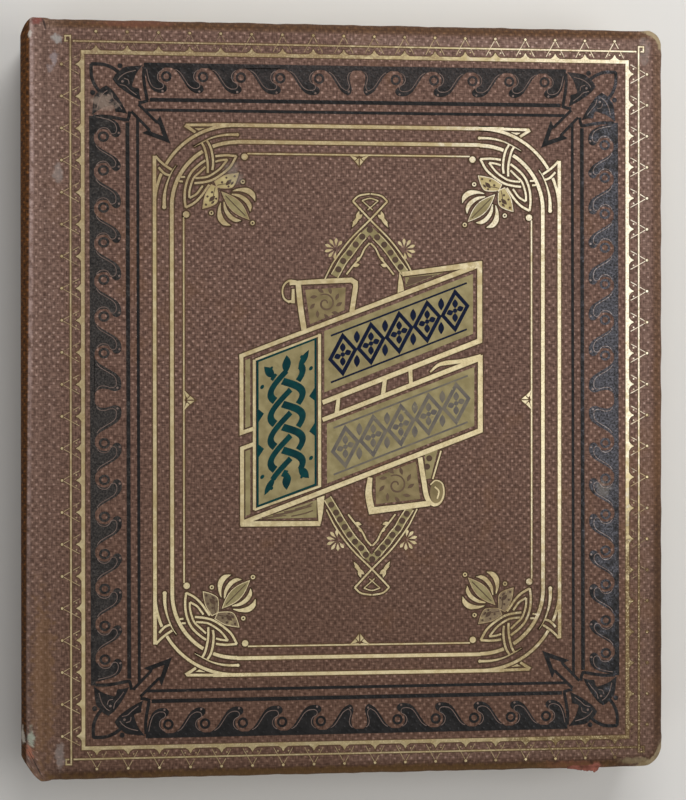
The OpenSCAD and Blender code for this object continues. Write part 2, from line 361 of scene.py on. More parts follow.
def makeBookCloth():
    look = {
        "valley": (62, 40, 31), "bead": (146, 113, 98), "edgeValley": (54, 30, 10), "edgeBead": (112, 76, 43),
        "rubbed": (146, 120, 108), "grey": (112, 104, 96), "bare": (150, 133, 103), "red": (158, 86, 72),
        "spineValley": (32, 15, 3), "spineBead": (130, 80, 33), "crest": (184, 158, 150), "glint": (204, 178, 166),
    }
    share = {
        "bead": 0.62, "fibre": 0.38, "tailEdge": 0.48, "tailFace": 0.42, "tailSpine": 0.4, "broad": 0.25,
        "scuff": 0.45,
        "rubbed": 0.8, "spineBrownAndShade": 0.9, "frayed": 0.6, "matt": 0.8, "flat": 0.35, "thread": 0.35, "relief": 0.55,
    }
    made, tree, shader = newMaterial("bookCloth", Specular_IOR_Level=0.3)
    place = uvPlace(tree)
    edge, rub, bare, spineSide, crest, spineEnd = (
        pieceValue(tree, key) for key in ("edgeTone", "rub", "bare", "spineSide", "crest", "spineEnd"))
    grain = useGroup(beadGrain, Place=place, **grainPitch)
    fibre = remap(grain["Weave"], 0.39, 0.61)
    bead = grain["Bead"] * share["bead"] + fibre * share["fibre"]
    glint = remap(grain["Bead"], 0.6, 1.1) * remap(rub, 0.0, 1.0, 0.18, 0.65)
    face = mixed(glint, mixed(bead, look["valley"], look["bead"]), look["glint"])
    # The edges and the spine are browner, their own colour with painted shade on the sloping bevels, and painted
    # shade darkens all of it towards the tail
    tail = 1.0 - remap(axes(place)[1], -0.15, 0.06)
    side = mixed(bead, look["edgeValley"], look["edgeBead"])
    side = mixed(tail * share["tailEdge"], side, look["edgeValley"])
    colour = mixed(calc("MAXIMUM", edge, tail * share["tailFace"]), face, side)
    broad = useGroup(patches, Place=place, Size=0.09, Share=0.4)["Mask"]
    colour = mixed(broad * share["broad"], colour, look["edgeBead"])
    scuff = useGroup(patches, Place=place, **scuffing)["Mask"]
    colour = mixed(scuff * share["scuff"], colour, look["grey"])
    worn = rub * remap(cloud(place, 420.0, 5.0, 0.65), 0.25, 0.75, 0.35, 1.0) * remap(bead, 0.0, 1.0, 0.3, 1.0)
    colour = mixed(worn * share["rubbed"], colour, look["rubbed"])
    # The spine's side: its own deep brown, darkened as painted shade where it turns away from the light, and more so
    # towards the tail
    spineBrownAndShade = mixed(bead, look["spineValley"], look["spineBead"])
    spineBrownAndShade = mixed(tail * share["tailSpine"], spineBrownAndShade, look["spineValley"])
    colour = mixed(spineSide * share["spineBrownAndShade"], colour, spineBrownAndShade)
    # Pale crest along the spine's shoulder: rubbed cloth, with a painted highlight where the shoulder turns up to the
    # light
    colour = mixed(crest * remap(cloud(place, 260.0, 5.0, 0.7), 0.35, 0.65), colour, look["crest"])
    # Bare threads, some of them red at the ends of the spine
    torn = remap(bare + cloud(place, 700.0, 4.0) * share["frayed"], 0.74, 1.0)
    under = mixed(remap(cloud(place, 150.0, 3.0), 0.47, 0.55), look["bare"], look["red"])
    under = mixed(spineEnd, look["bare"], under)
    feed(shader["Base Color"], addWearAndLight(place, mixed(torn, colour, under), boardSpots + spineSpots))
    mattSides = calc("MAXIMUM", spineSide, edge * share["matt"])
    feed(shader["Roughness"], calc("MAXIMUM", mattSides, remap(bead, 0.0, 1.0, 0.8, 0.55)))
    height = grain["Bead"] * (1.0 - rub * share["flat"]) + fibre * share["thread"]
    feed(shader["Normal"], bump(height, share["relief"], 0.3 * mm))
    return made


def makeFoil(name, colour, deep, metal, rough, share, lost=(94, 69, 58), size=0.02, relief=0.15, spots=(), shine=0.3,
             speckle=(0.4, 0.66)):
    # Leaf or ink blocked on the grain: it thins out on the rubbed beads and in patches
    form = {"scuff": 0.35, "scuffTone": (124, 116, 102), "dull": 0.7, "bead": 0.6, "speck": 0.4}
    made, tree, shader = newMaterial(name, Specular_IOR_Level=shine)
    place = flatPlace(tree)
    grain = useGroup(beadGrain, Place=place, **grainPitch)
    speck = cloud(place, 900.0, 3.0)
    thin = useGroup(patches, Place=place, Size=size, Share=share)["Mask"] * remap(speck, 0.3, 0.6)
    base = mixed(remap(cloud(place, 220.0, 4.0), 0.3, 0.7), colour, deep)
    scuff = useGroup(patches, Place=place, **scuffing)["Mask"]
    base = mixed(scuff * form["scuff"], mixed(thin, base, lost), form["scuffTone"])
    # Spots from the given list, speckled: worn places, and on the gold and the black also painted highlights and
    # sheen
    base = addWearAndLight(place, base, spots, remap(cloud(place, 1300.0, 3.0, 0.7), *speckle))
    feed(shader["Base Color"], addWearAndLight(place, base, boardSpots))
    feed(shader["Metallic"], remap(calc("MAXIMUM", thin, scuff * form["dull"]), 0.0, 1.0, metal, 0.0))
    feed(shader["Roughness"], remap(speck, 0.3, 0.7, rough - 0.06, rough + 0.1))
    feed(shader["Normal"], bump(grain["Bead"] * form["bead"] + speck * form["speck"], relief, 0.3 * mm))
    return made


def makePaper(name, paper, age, place=objectPlace, depth=0.03):
    made, tree, shader = newMaterial(name, Roughness=0.85, Specular_IOR_Level=0.25)
    tone = useGroup(paperTone, Place=place(tree), Paper=tint(*paper), Age=tint(*age))
    feed(shader["Base Color"], tone["Colour"])
    feed(shader["Normal"], bump(tone["Fibre"], 0.4, depth * mm))
    return made


def makeWoven(name, light, dark, threads, place=objectPlace):
    # Plain weave: a fine wave along each axis, with thicker threads here and there
    made, tree, shader = newMaterial(name, Roughness=0.9, Specular_IOR_Level=0.2)
    spot = place(tree)
    rows = [calc("SINE", x * (threads * math.tau)) for x in axes(spot)]
    weave = remap(rows[0] + rows[1] + rows[2], -1.5, 1.5)
    feed(shader["Base Color"], mixed(weave * 0.6 + cloud(spot, 120.0, 4.0) * 0.4, dark, light))
    feed(shader["Normal"], bump(weave, 0.5, 0.1 * mm))
    return made


def makeStriped(name, first, second, pitch, ribs=6):
    # Coloured threads wound round a cord: bands along its length, with a fine rib
    made, tree, shader = newMaterial(name, Roughness=0.6, Sheen_Weight=0.2)
    along = axes(objectPlace(tree))[2]
    turn = calc("SINE", along * (math.tau / pitch))
    rib = calc("SINE", along * (math.tau / (pitch / ribs)))
    feed(shader["Base Color"], mixed(remap(turn, -0.15, 0.15), first, second))
    feed(shader["Normal"], bump(rib, 0.4, 0.1 * mm))
    return made


bookCloth = makeBookCloth()
# Values of a leaf or ink: colour, deeper colour, metal, roughness, share rubbed away, colour below, patch size
goldFoil = makeFoil(
    "goldFoil", (208, 192, 152), (184, 165, 122), 0.75, 0.36, 0.16, spots=goldWearAndHighlights, speckle=(0.3, 0.52))
thinGold = makeFoil(
    "thinGold", (188, 168, 132), (158, 136, 102), 0.6, 0.42, 0.42, (110, 86, 70), 0.008, spots=goldWearAndHighlights + lostDarts,
    speckle=(0.3, 0.5))
giltPanel = makeFoil("giltPanel", (149, 137, 98), (128, 116, 79), 0.35, 0.5, 0.2, (110, 92, 68), 0.012)
# Dark bands round the blocking: painted shade of the impressions
pressedShade = makeFoil("pressedShade", (76, 54, 32), (88, 64, 42), 0.0, 0.75, 0.1)
deepPressedShade = makeFoil("deepPressedShade", (62, 43, 26), (76, 55, 36), 0.0, 0.75, 0.1)
blackFoil = makeFoil(
    "blackFoil", (16, 15, 15), (31, 29, 29), 0.0, 0.36, 0.2, (84, 70, 62), 0.02, 0.8, greyBlack, 0.18, (0.32, 0.74))
veinCloth = makeFoil("veinCloth", (120, 102, 94), (98, 80, 72), 0.0, 0.7, 0.3, spots=paleVeins)
navyInk = makeFoil("navyInk", (5, 13, 36), (12, 22, 46), 0.0, 0.5, 0.12, (120, 112, 88), shine=0.1)
fadedInk = makeFoil("fadedInk", (86, 80, 76), (108, 100, 86), 0.1, 0.55, 0.3, (150, 140, 106), 0.008)
greenInk = makeFoil("greenInk", (0, 42, 46), (4, 58, 58), 0.0, 0.5, 0.12, (120, 112, 84), shine=0.1)
brownInk = makeFoil("brownInk", (84, 64, 48), (98, 78, 58), 0.0, 0.6, 0.2, (120, 102, 74))
darkInk = makeFoil("darkInk", (66, 48, 34), (80, 60, 44), 0.0, 0.6, 0.1, (104, 86, 60))
leafGilt = makeFoil(
    "leafGilt", (186, 170, 124), (160, 143, 98), 0.55, 0.42, 0.16, (110, 92, 68), 0.012,
    spots=goldWearAndHighlights[:4] + lostLeaves, speckle=(0.25, 0.45))
scrollFill = makeFoil("scrollFill", (138, 122, 86), (112, 98, 66), 0.35, 0.5, 0.25, (98, 80, 60), 0.008)
tornCloth = makeFoil("tornCloth", (148, 88, 74), (98, 56, 42), 0.0, 0.8, 0.45, (84, 52, 38), 0.004, relief=0.5)
leafCard = makePaper("leafCard", (214, 198, 164), (170, 142, 98), uvPlace)
endPaper = makePaper("endPaper", (222, 204, 164), (182, 150, 102), uvPlace)
millBoard = makePaper("millBoard", (150, 132, 104), (112, 94, 70), depth=0.08)
kraftPaper = makePaper("kraftPaper", (164, 132, 88), (126, 96, 60))
guardLinen = makeWoven("guardLinen", (214, 202, 174), (158, 142, 110), 2200.0, uvPlace)
spineLinen = makeWoven("spineLinen", (206, 194, 164), (150, 134, 104), 1400.0)
sewingThread = makeWoven("sewingThread", (232, 224, 202), (188, 176, 146), 4000.0)
bandSilk = makeStriped("bandSilk", (142, 42, 36), (214, 196, 150), 2.4 * mm)
print("finishes made")


# Camera, floor and light

view = {"place": (-0.09304, 0.0026, 0.81621), "turnDeg": (-0.2018, -6.6444, -0.0561), "lens": 90.0, "sensor": 36.0}
cameraData = bpy.data.cameras.new("camera")
cameraData.lens, cameraData.sensor_width, cameraData.clip_start = view["lens"], view["sensor"], 0.01
camera = bpy.data.objects.new("camera", cameraData)
camera.location = view["place"]
camera.rotation_euler = [math.radians(a) for a in view["turnDeg"]]
scene.collection.objects.link(camera)
scene.camera = camera

floorForm = {"half": 4.0, "points": 9, "below": 0.3 * mm, "pale": (212, 210, 206), "paler": (218, 216, 213)}
floorMaterial, floorTree, floorShader = newMaterial("floor", Roughness=0.9, Specular_IOR_Level=0.1)
floorTone = mixed(cloud(objectPlace(floorTree), 3.0), floorForm["pale"], floorForm["paler"])
feed(floorShader["Base Color"], floorTone)
reach = np.linspace(-floorForm["half"], floorForm["half"], floorForm["points"])
floorX, floorY = np.meshgrid(reach, reach)
floorPoints = np.stack([floorX, floorY, np.full_like(floorX, -floorForm["below"])], -1).reshape(-1, 3)
floor = addPiece("floor", floorPoints, gridFaces(*floorX.shape), floorMaterial)

sky = {"colour": (1.0, 0.985, 0.965, 1.0), "lit": 0.3, "seen": 0.6}
scene.view_settings.view_transform = "Standard"
world = bpy.data.worlds.new("studio")
scene.world = world
world.use_nodes = True
skyBack = world.node_tree.nodes["Background"].inputs
rays = addNode(world.node_tree, "LightPath", {})
seen = calc("MAXIMUM", calc("MAXIMUM", rays["Is Camera Ray"], rays["Is Glossy Ray"]), rays["Is Transmission Ray"])
feed(skyBack["Color"], sky["colour"])
feed(skyBack["Strength"], remap(seen, 0.0, 1.0, sky["lit"], sky["seen"]))


def addLamp(name, place, side, power):
    # A square lamp that faces the origin
    lamp = bpy.data.lights.new(name, "AREA")
    lamp.shape = "RECTANGLE"
    lamp.size = lamp.size_y = side
    lamp.energy = power
    made = bpy.data.objects.new(name, lamp)
    made.location = place
    x, y, z = place
    made.rotation_euler = (0.0, math.acos(z / np.linalg.norm(place)), math.atan2(y, x))
    scene.collection.objects.link(made)


addLamp("keyBox", (0.2, 0.82, 0.62), 0.7, 7.9)
addLamp("sideBox", (0.65, -0.05, 0.75), 0.5, 3.4)
addLamp("fillBox", (-1.1, -0.9, 0.9), 0.9, 3.0)
print("camera and light set")


# Cloth case: each half runs from the middle of the spine over its joint to the fore-edge

caseCloth = {
    "cloth": 0.5 * mm, "bevelW": 5.0 * mm, "bevelD": 2.6 * mm, "crease": 0.14, "edgeRound": 0.7 * mm,
    "endRound": 0.24 * mm, "insideRound": 0.5 * mm, "sag": 0.6 * mm, "headCorner": 6.0 * mm, "tailCorner": 9.0 * mm,
    "spineWall": 1.6 * mm, "bevelFrom": -4.5 * mm, "bevelTo": 0.5 * mm, "backUv": 0.7, "rows": 41, "columns": 58,
    "steps": np.array([0, .06, .18, .36, .7, 1.1, 1.7, 2.5, 3.4, 4.1, 4.6, 5.0, 5.4, 5.9, 6.6, 8, 11, 16, 24]) * mm,
    "boardSteps": np.array([0, .02, .3, .7, 1.3, 2.2, 3.6, 6]) * mm,
}
# Worn ends of the spine, and the waves of its uneven edges as height, turn per metre and start
caseWear = {
    "head": (6.5 * mm, 2.0), "tail": (9.6 * mm, 1.35), "tailReach": 3 * mm, "reach": 22 * mm, "uneven": 0.08 * mm,
    "unevenIn": 4 * mm, "endWaves": ((1, 310, 1), (1, 730, 0), (.7, 1490, 2)),
    "foreWaves": ((1, 270, 2), (1, 690, 1), (.7, 1370, 0)),
}
# Rubbed places, and where the spine's browner side with its painted shade and its crest lie: the distances over which
# each sets in and fades
caseRub = {
    "toHead": (-120 * mm, 130 * mm), "brownAndShadeFrom": (0.58, -0.33), "back": (-0.05, 0.07),
    "crest": (-0.4, -0.15, -0.05, 0.05), "joint": (-3.5 * mm, -1 * mm, -1 * mm, 9 * mm),
    "ends": 5 * mm, "rim": 1.2 * mm, "headCorner": 9 * mm, "tailCorner": 12 * mm, "corner": (-4.2 * mm, -1.5 * mm),
    "fore": (4.5 * mm, 6 * mm, 8 * mm, 14 * mm), "bevel": 6 * mm,
}


def caseSection():
    # Outline in X and Z from mid-spine up the back, round the shoulder, over the joint and along the board
    c, r, top, hinge = caseCloth, album["depth"], album["top"], album["hingeX"]
    backZ = np.linspace(top / 2, top - r, 9)[:-1]
    turn = np.radians(np.linspace(180, 90, 25))[:-1]
    share = np.linspace(0, 1, 17)[:-1]
    boardX, foreX = album["boardX"] + c["boardSteps"], album["foreX"] - c["steps"][::-1]
    flatX = np.concatenate([boardX, np.linspace(boardX[-1], foreX[0], c["columns"])[1:-1], foreX])
    x = np.concatenate([
        np.full(len(backZ), album["spineX"]), hinge + r * np.cos(turn), hinge + share * (album["boardX"] - hinge),
        flatX])
    z = np.concatenate([
        backZ, top - r + r * np.sin(turn), top - c["sag"] * np.sin(np.pi * share) ** 2, np.full(len(flatX), top)])
    return x, z, np.arange(len(x)) > len(x) - len(flatX)


def outlineDepth(x, y, radius):
    # Distance inside the outline, with round corners at the fore-edge
    dx, dy = album["foreX"] - x, album["halfH"] - np.abs(y)
    inCorner = (dx < radius) & (dy < radius)
    return np.where(inCorner, radius - np.hypot(radius - dx, radius - dy), np.minimum(dx, dy))


def halfHeight(x, radius):
    # Half height of the outline at x: full, and less over the round corner
    into = np.clip(x - (album["foreX"] - radius), 0, radius)
    return album["halfH"] - radius + np.sqrt(np.maximum(radius ** 2 - into ** 2, 0))


def quarterRound(depth, radius):
    # How far a round edge falls away at a depth inside it
    inside = np.clip(radius - depth, 0, radius)
    return radius - np.sqrt(radius ** 2 - inside ** 2)


def waver(along, waves):
    # Three waves of unlike length, drawn in a little
    return caseWear["uneven"] * (sum(high * np.sin(along * turn + start) for high, turn, start in waves) - 2)


def hump(x, riseFrom, riseTo, fallFrom, fallTo):
    return smoothStep(x, riseFrom, riseTo) * (1 - smoothStep(x, fallFrom, fallTo))


def clothValues(x, y, depth, drop, fade):
    # Where the cloth is browner and painted with shade, on the bevels and the spine's side; where the crest of the
    # shoulder is pale, rubbed and painted with a highlight; and where it is rubbed and bare
    rubbed, hinge, board, fore = caseRub, album["hingeX"], album["boardX"], album["foreX"]
    slope = np.clip(drop / caseCloth["bevelD"], 0, 1)
    toHead = smoothStep(y, *rubbed["toHead"])
    shoulder = (hinge - x) / album["depth"]
    # how far over the shoulder the browner back with its painted shade reaches
    brownAndShadeFrom = rubbed["brownAndShadeFrom"][0] + rubbed["brownAndShadeFrom"][1] * toHead
    spineSide = smoothStep(shoulder, *(brownAndShadeFrom + d for d in rubbed["back"]))
    crest = hump(shoulder, *(brownAndShadeFrom + d for d in rubbed["crest"])) * (0.2 + 0.8 * toHead)
    start = np.array([hinge, hinge, board, board])
    joint = hump(x, *(start + rubbed["joint"]))
    onSpine = smoothStep(-x, -board, -hinge) * np.ones_like(y)
    ends = np.exp(-(album["halfH"] - np.abs(y)) / rubbed["ends"]) * onSpine
    rim = np.exp(-(depth / rubbed["rim"]) ** 2) * fade
    cornerSize = np.where(y > 0, rubbed["headCorner"], rubbed["tailCorner"])
    corner = np.exp(-(np.hypot(x - fore, np.abs(y) - album["halfH"]) / cornerSize) ** 2)
    corner = corner * smoothStep(-depth, *rubbed["corner"])
    foreBevel = smoothStep(slope, 0.1, 0.4) * (x > fore - rubbed["bevel"])
    foreRub = hump(depth, *rubbed["fore"]) * (x > 0)
    rub = (0.4 + 0.55 * toHead) * joint + crest + 0.5 * ends + 0.4 * rim + corner \
        + (0.4 + 0.6 * toHead) * foreRub + 0.8 * toHead * foreBevel
    return {
        "edgeTone": np.maximum(smoothStep(slope, 0.05, 0.45), spineSide), "rub": np.clip(rub, 0, 1),
        "bare": np.clip(0.95 * corner + 0.3 * rim * corner + 0.5 * ends ** 2, 0, 1),
        "spineSide": spineSide, "crest": crest, "spineEnd": onSpine,
    }


def buildCase(name, upper):
    c, worn = caseCloth, caseWear
    x, z, onBoard = caseSection()
    tx, tz = np.gradient(x), np.gradient(z)
    length = np.hypot(tx, tz)
    nx, nz = np.where(onBoard, 0, -tz / length), np.where(onBoard, 1, tx / length)
    arc = np.concatenate([[0], np.cumsum(np.hypot(np.diff(x), np.diff(z)))])
    arc = arc - arc[np.argmax(onBoard)] + album["boardX"]      # equal to x on the board
    x, z, onBoard, nx, nz, arc = (v[:, None] for v in (x, z, onBoard, nx, nz, arc))
    steps, inner = c["steps"], np.linspace(-1, 1, c["rows"])[1:-1]
    headH, tailH = halfHeight(x, c["headCorner"]), halfHeight(x, c["tailCorner"])
    middle = (headH - tailH) / 2 + inner * ((headH + tailH) / 2 - steps[-1])
    y = np.concatenate([steps - tailH, middle, headH - steps[::-1]], 1)
    depth = np.maximum(outlineDepth(x, y, np.where(y > 0, c["headCorner"], c["tailCorner"])), 0)
    # The bevel is a ramp with a soft crease, fading out over the joint
    ramp = 1 - depth / c["bevelW"]
    fade = smoothStep(x, album["boardX"] + c["bevelFrom"], album["boardX"] + c["bevelTo"])
    drop = fade * c["bevelD"] * (ramp + np.sqrt(ramp ** 2 + c["crease"] ** 2)) / 2
    fall = drop + quarterRound(depth, np.where(onBoard, c["edgeRound"], c["endRound"]))
    outer = np.stack([x - nx * fall, y, z - nz * fall], -1)
    # the spine's card strip is in its wall
    under = np.where(x < album["hingeX"], c["spineWall"], c["cloth"]) + drop
    boardZ = album["inside"] + quarterRound(depth, c["insideRound"])
    inside = np.stack([np.where(onBoard, x, x - nx * under), y, np.where(onBoard, boardZ, z - nz * under)], -1)
    # Worn ends of the spine draw in towards its back, and the edges are a little uneven
    reach = np.where(y > 0, 0, worn["tailReach"])
    back = np.clip((album["hingeX"] + reach - x) / (album["depth"] + reach), 0, 1)
    drawn = np.where(y > 0, *(most * back ** bow for most, bow in (worn["head"], worn["tail"])))
    drawn = drawn * smoothStep(np.abs(y), album["halfH"] - worn["reach"], album["halfH"])
    pull = np.sign(y) * (drawn - smoothStep(depth, worn["unevenIn"], 0) * waver(x, worn["endWaves"]))
    push = waver(y, worn["foreWaves"]) * smoothStep(x, album["foreX"] - worn["unevenIn"], album["foreX"])
    for side in (outer, inside):
        side[..., 1] -= pull
        side[..., 0] += push
    points = np.concatenate([outer.reshape(-1, 3), inside.reshape(-1, 3)])
    faces = closedFaces(*y.shape)
    uv = np.tile(np.stack([np.broadcast_to(arc, y.shape), y], -1).reshape(-1, 2), (2, 1))
    values = {k: np.tile(v.ravel(), 2) for k, v in clothValues(x, y, depth, drop, fade).items()}
    if not upper:
        points[:, 2] = album["top"] - points[:, 2]
        faces, uv = faces[:, ::-1], uv + c["backUv"]
    return addPiece(name, points, faces, bookCloth, uv, values)


hinge, board = album["hingeX"], album["boardX"]
frontCase = buildCase("frontCase", True)
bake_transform(frontCase)
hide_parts("front_cloth", "front_board", "front_joint_cloth", "spine_cloth", "spine_strip")
backCase = buildCase("backCase", False)
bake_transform(backCase)
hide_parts("back_cloth", "back_board", "back_joint_cloth", "spine_cloth", "spine_strip")
print("cloth case laid")


# A torn bit of the covering cloth that hangs from the tail edge

tornEdge = {
    "x": (88.5 * mm, 101.5 * mm), "inset": 1.2 * mm, "hang": 1.9 * mm, "lift": 0.12 * mm, "wall": 0.3 * mm,
    "grow": 1.5, "end": 0.35, "rag": 1.6, "ragWaves": ((0.3, 23), (0.2, 61)), "curl": 0.5, "curlTurn": 17,
}
across, down = np.meshgrid(np.linspace(0, 1, 40), np.linspace(0, 1, 8), indexing="ij")
# Its reach grows along the edge and drops at the end, with a ragged rim; it follows the bevel and curls at the tip
ragged = sum((high * np.sin(turn * across) for high, turn in tornEdge["ragWaves"]), tornEdge["rag"])
hang = tornEdge["hang"] * across ** tornEdge["grow"] * (1 - across) ** tornEdge["end"] * ragged
tornX = tornEdge["x"][0] + across * (tornEdge["x"][1] - tornEdge["x"][0])
tornY = tornEdge["inset"] - album["halfH"] - down * (tornEdge["inset"] + hang)
insetDrop = caseCloth["bevelD"] / caseCloth["bevelW"] * tornEdge["inset"]
curl = tornEdge["curl"] * hang * (down ** 3 * (1 + np.sin(tornEdge["curlTurn"] * across)) - down)
tornZ = album["top"] - caseCloth["bevelD"] + insetDrop * (1 - down) + tornEdge["lift"] + curl
torn = addPiece("tornBit", np.stack([tornX, tornY, tornZ], -1).reshape(-1, 3), gridFaces(*across.shape), tornCloth)
thicken(torn, tornEdge["wall"])
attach(torn, "front_cover")
print("torn edge hung")


# Leaves on their guards, and the endpapers

leafForm = {
    "wave": 0.07 * mm, "waves": (21, 17), "flat": (12 * mm, 60 * mm), "trim": 0.35 * mm, "trimWave": 2.2,
    "trimIn": 60 * mm, "guardShort": 3 * mm, "guardHalf": 0.15 * mm, "guardLap": 0.4 * mm, "bend": 12, "plain": 14,
    "rows": 18, "uvStep": 9,
}


def buildSheet(name, x0, x1, halfH, middleZ, halfT, material, bendTo, wave=0.0, trim=0.0, short=0.0):
    # A closed thin sheet: a grid for each side, waved together, and a wall round the edge
    form = leafForm
    x = np.concatenate([np.linspace(x0, bendTo, form["bend"]), np.linspace(bendTo, x1, form["plain"])[1:]])[:, None]
    y = np.linspace(-1, 1, form["rows"])
    phase = rng.uniform(0, math.tau, 4)
    share = smoothStep(x, x1 - form["trimIn"], x1)
    gridX = x + share * trim * (np.sin(y * form["trimWave"] + phase[0]) - 1)
    gridY = y * (halfH - trim + trim * np.sin(phase[1]) - short * (x < bendTo - 0.1 * mm))
    turnX, turnY = form["waves"]
    lift = wave * np.sin(gridX * turnX + phase[2]) * np.sin(gridY * turnY + phase[3])
    lift = lift * smoothStep(x, x0 + form["flat"][0], x0 + form["flat"][1])
    half = halfT(x) * np.ones_like(gridX)
    upper, lower = (
        np.stack([gridX, gridY, middleZ + lift + way * half], -1).reshape(-1, 3) for way in (1, -1))
    uv = np.tile(np.stack([gridX, gridY + middleZ * form["uvStep"]], -1).reshape(-1, 2), (2, 1))
    faces = closedFaces(*gridX.shape)
    return addPiece(name, np.concatenate([upper, lower]), faces, material, uv, smooth=False)


def buildLeaf(piece, node, guards, material):
    low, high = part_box(node)
    middle, halfLeaf = (low.z + high.z) / 2, (high.z - low.z) / 2
    guardHalf = min(halfLeaf, leafForm["guardHalf"])
    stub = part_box("spine_stubs")[0].x
    made = buildSheet(
        piece, stub, high.x, high.y, middle,
        lambda x: np.where(x < low.x - leafForm["guardLap"], guardHalf, halfLeaf), material,
        low.x, leafForm["wave"], leafForm["trim"], leafForm["guardShort"])
    made.data.materials.append(guardLinen)
    centre = np.empty(len(made.data.polygons) * 3)
    made.data.polygons.foreach_get("center", centre)
    onGuard = (centre.reshape(-1, 3)[:, 0] < low.x) & (material is leafCard)
    made.data.polygons.foreach_set("material_index", onGuard.astype(np.int32))
    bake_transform(made)
    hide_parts(node, guards)
    return made


buildLeaf("frontFlyleaf", "front_flyleaf", "front_leaf_guards", endPaper)
for k in range(1, leafCount + 1):
    node = f"leaf_{k:02d}"
    guards = "front_leaf_guards" if k <= leafCount // 2 else "back_leaf_guards"
    buildLeaf(f"albumLeaf{k:02d}", node, guards, leafCard)
buildLeaf("backFlyleaf", "back_flyleaf", "back_leaf_guards", endPaper)

for side, cover in (("front", "front_cover"), ("back", "back_cover")):
    low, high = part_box(side + "_pastedown")
    middle, half = (low.z + high.z) / 2, (high.z - low.z) / 2
    paste = buildSheet(
        side + "Endpaper", hinge, high.x, high.y, middle, lambda x: np.full_like(x, half), endPaper, board)
    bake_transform(paste)
    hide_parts(side + "_pastedown", side + "_inner_joint")
print("leaves and endpapers hung")


# Headbands: silk wound in ridges round a cord

bandForm = {"ridges": 22, "ridge": 0.06, "around": 20, "drawnIn": 3 * mm, "perRidge": 6, "end": 0.55}
for node in ("headband", "tailband"):
    low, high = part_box(node)
    centre, radius = (low + high) / 2, (high.x - low.x) / 2
    centre.y -= math.copysign(bandForm["drawnIn"], centre.y)
    along = np.linspace(0, 1, bandForm["ridges"] * bandForm["perRidge"] + 1)[:, None]
    around = np.linspace(0, math.tau, bandForm["around"], endpoint=False)
    wound = radius * (1 - bandForm["ridge"] * (1 - np.abs(np.sin(along * math.pi * bandForm["ridges"]))))
    wound[[0, -1]] *= bandForm["end"]
    bandX, bandY = centre.x + wound * np.cos(around), centre.y + wound * np.sin(around)
    bandZ = np.broadcast_to(low.z + along * (high.z - low.z), bandX.shape)
    n, m = bandX.shape
    i, j = np.arange(n - 1)[:, None] * m, np.arange(m)
    quads = np.stack([i + j, i + (j + 1) % m, i + m + (j + 1) % m, i + m + j], -1).reshape(-1, 4)
    faces = [*quads.tolist(), j[::-1].tolist(), (j + (n - 1) * m).tolist()]
    band = addPiece(node + "Silk", np.stack([bandX, bandY, bandZ], -1).reshape(-1, 3), faces, bandSilk)
    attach(band, "spine")
    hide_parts(node)
print("headbands wound")


# Stubs between the guards, and the paper lining, both cut short of the worn ends of the spine

backForm = {"stubShort": 3 * mm, "liningTail": -137.5 * mm, "liningHead": 140.5 * mm}


def buildBlocks(name, low, high, material, node):
    # Plain blocks: each has the eight corners between its lowest and its highest point
    pick = np.array([(0, 0, 0), (1, 0, 0), (1, 1, 0), (0, 1, 0), (0, 0, 1), (1, 0, 1), (1, 1, 1), (0, 1, 1)])
    points = low[:, None] + pick[None] * (high - low)[:, None]
    sides = np.array([(0, 3, 2, 1), (4, 5, 6, 7), (0, 1, 5, 4), (1, 2, 6, 5), (2, 3, 7, 6), (3, 0, 4, 7)])
    faces = (sides[None] + 8 * np.arange(len(low))[:, None, None]).reshape(-1, 4)
    made = addPiece(name, points.reshape(-1, 3), faces, material, smooth=False)
    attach(made, "spine")
    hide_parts(node)


sheets = [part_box(n) for n in ["front_flyleaf", *(f"leaf_{k:02d}" for k in range(1, leafCount + 1)), "back_flyleaf"]]
middles = np.array([(low.z + high.z) / 2 for low, high in sheets])
low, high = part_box("spine_stubs")
stubY = high.y - backForm["stubShort"]
stubLow = np.stack(np.broadcast_arrays(low.x, -stubY, middles[1:] + leafForm["guardHalf"]), -1)
stubHigh = np.stack(np.broadcast_arrays(high.x, stubY, middles[:-1] - leafForm["guardHalf"]), -1)
buildBlocks("cardStubs", stubLow, stubHigh, millBoard, "spine_stubs")
low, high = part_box("spine_lining")
liningLow, liningHigh = (low.x, backForm["liningTail"], low.z), (high.x, backForm["liningHead"], high.z)
buildBlocks("backLining", np.array([liningLow]), np.array([liningHigh]), kraftPaper, "spine_lining")
print("back lined")

# CAD nodes that show as they are
kept = {
    "front_infill": kraftPaper, "back_infill": kraftPaper,
    "mull": spineLinen, "sewing_tapes": spineLinen, "sewing_thread": sewingThread,
}
for node, material in kept.items():
    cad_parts[node].data.materials.clear()
    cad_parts[node].data.materials.append(material)


# Blocking on the front cover. Places are in millimetres from the middle of the gold frame, as complex numbers:
# the real part runs towards the fore-edge, the imaginary part towards the head

blocking = {"middle": 4.55 - 0.25j, "thick": 0.16, "step": 0.0016, "steps": 31}
# Heights above the cloth
levels = {
    "pressed": 0.01, "black": 0.05, "dart": 0.06, "panel": 0.065, "gold": 0.1, "ink": 0.1, "knot": 0.15, "line": 0.15,
    "dot": 0.2,
}


def at(*pairs):
    return np.array([complex(a, b) for a, b in pairs])


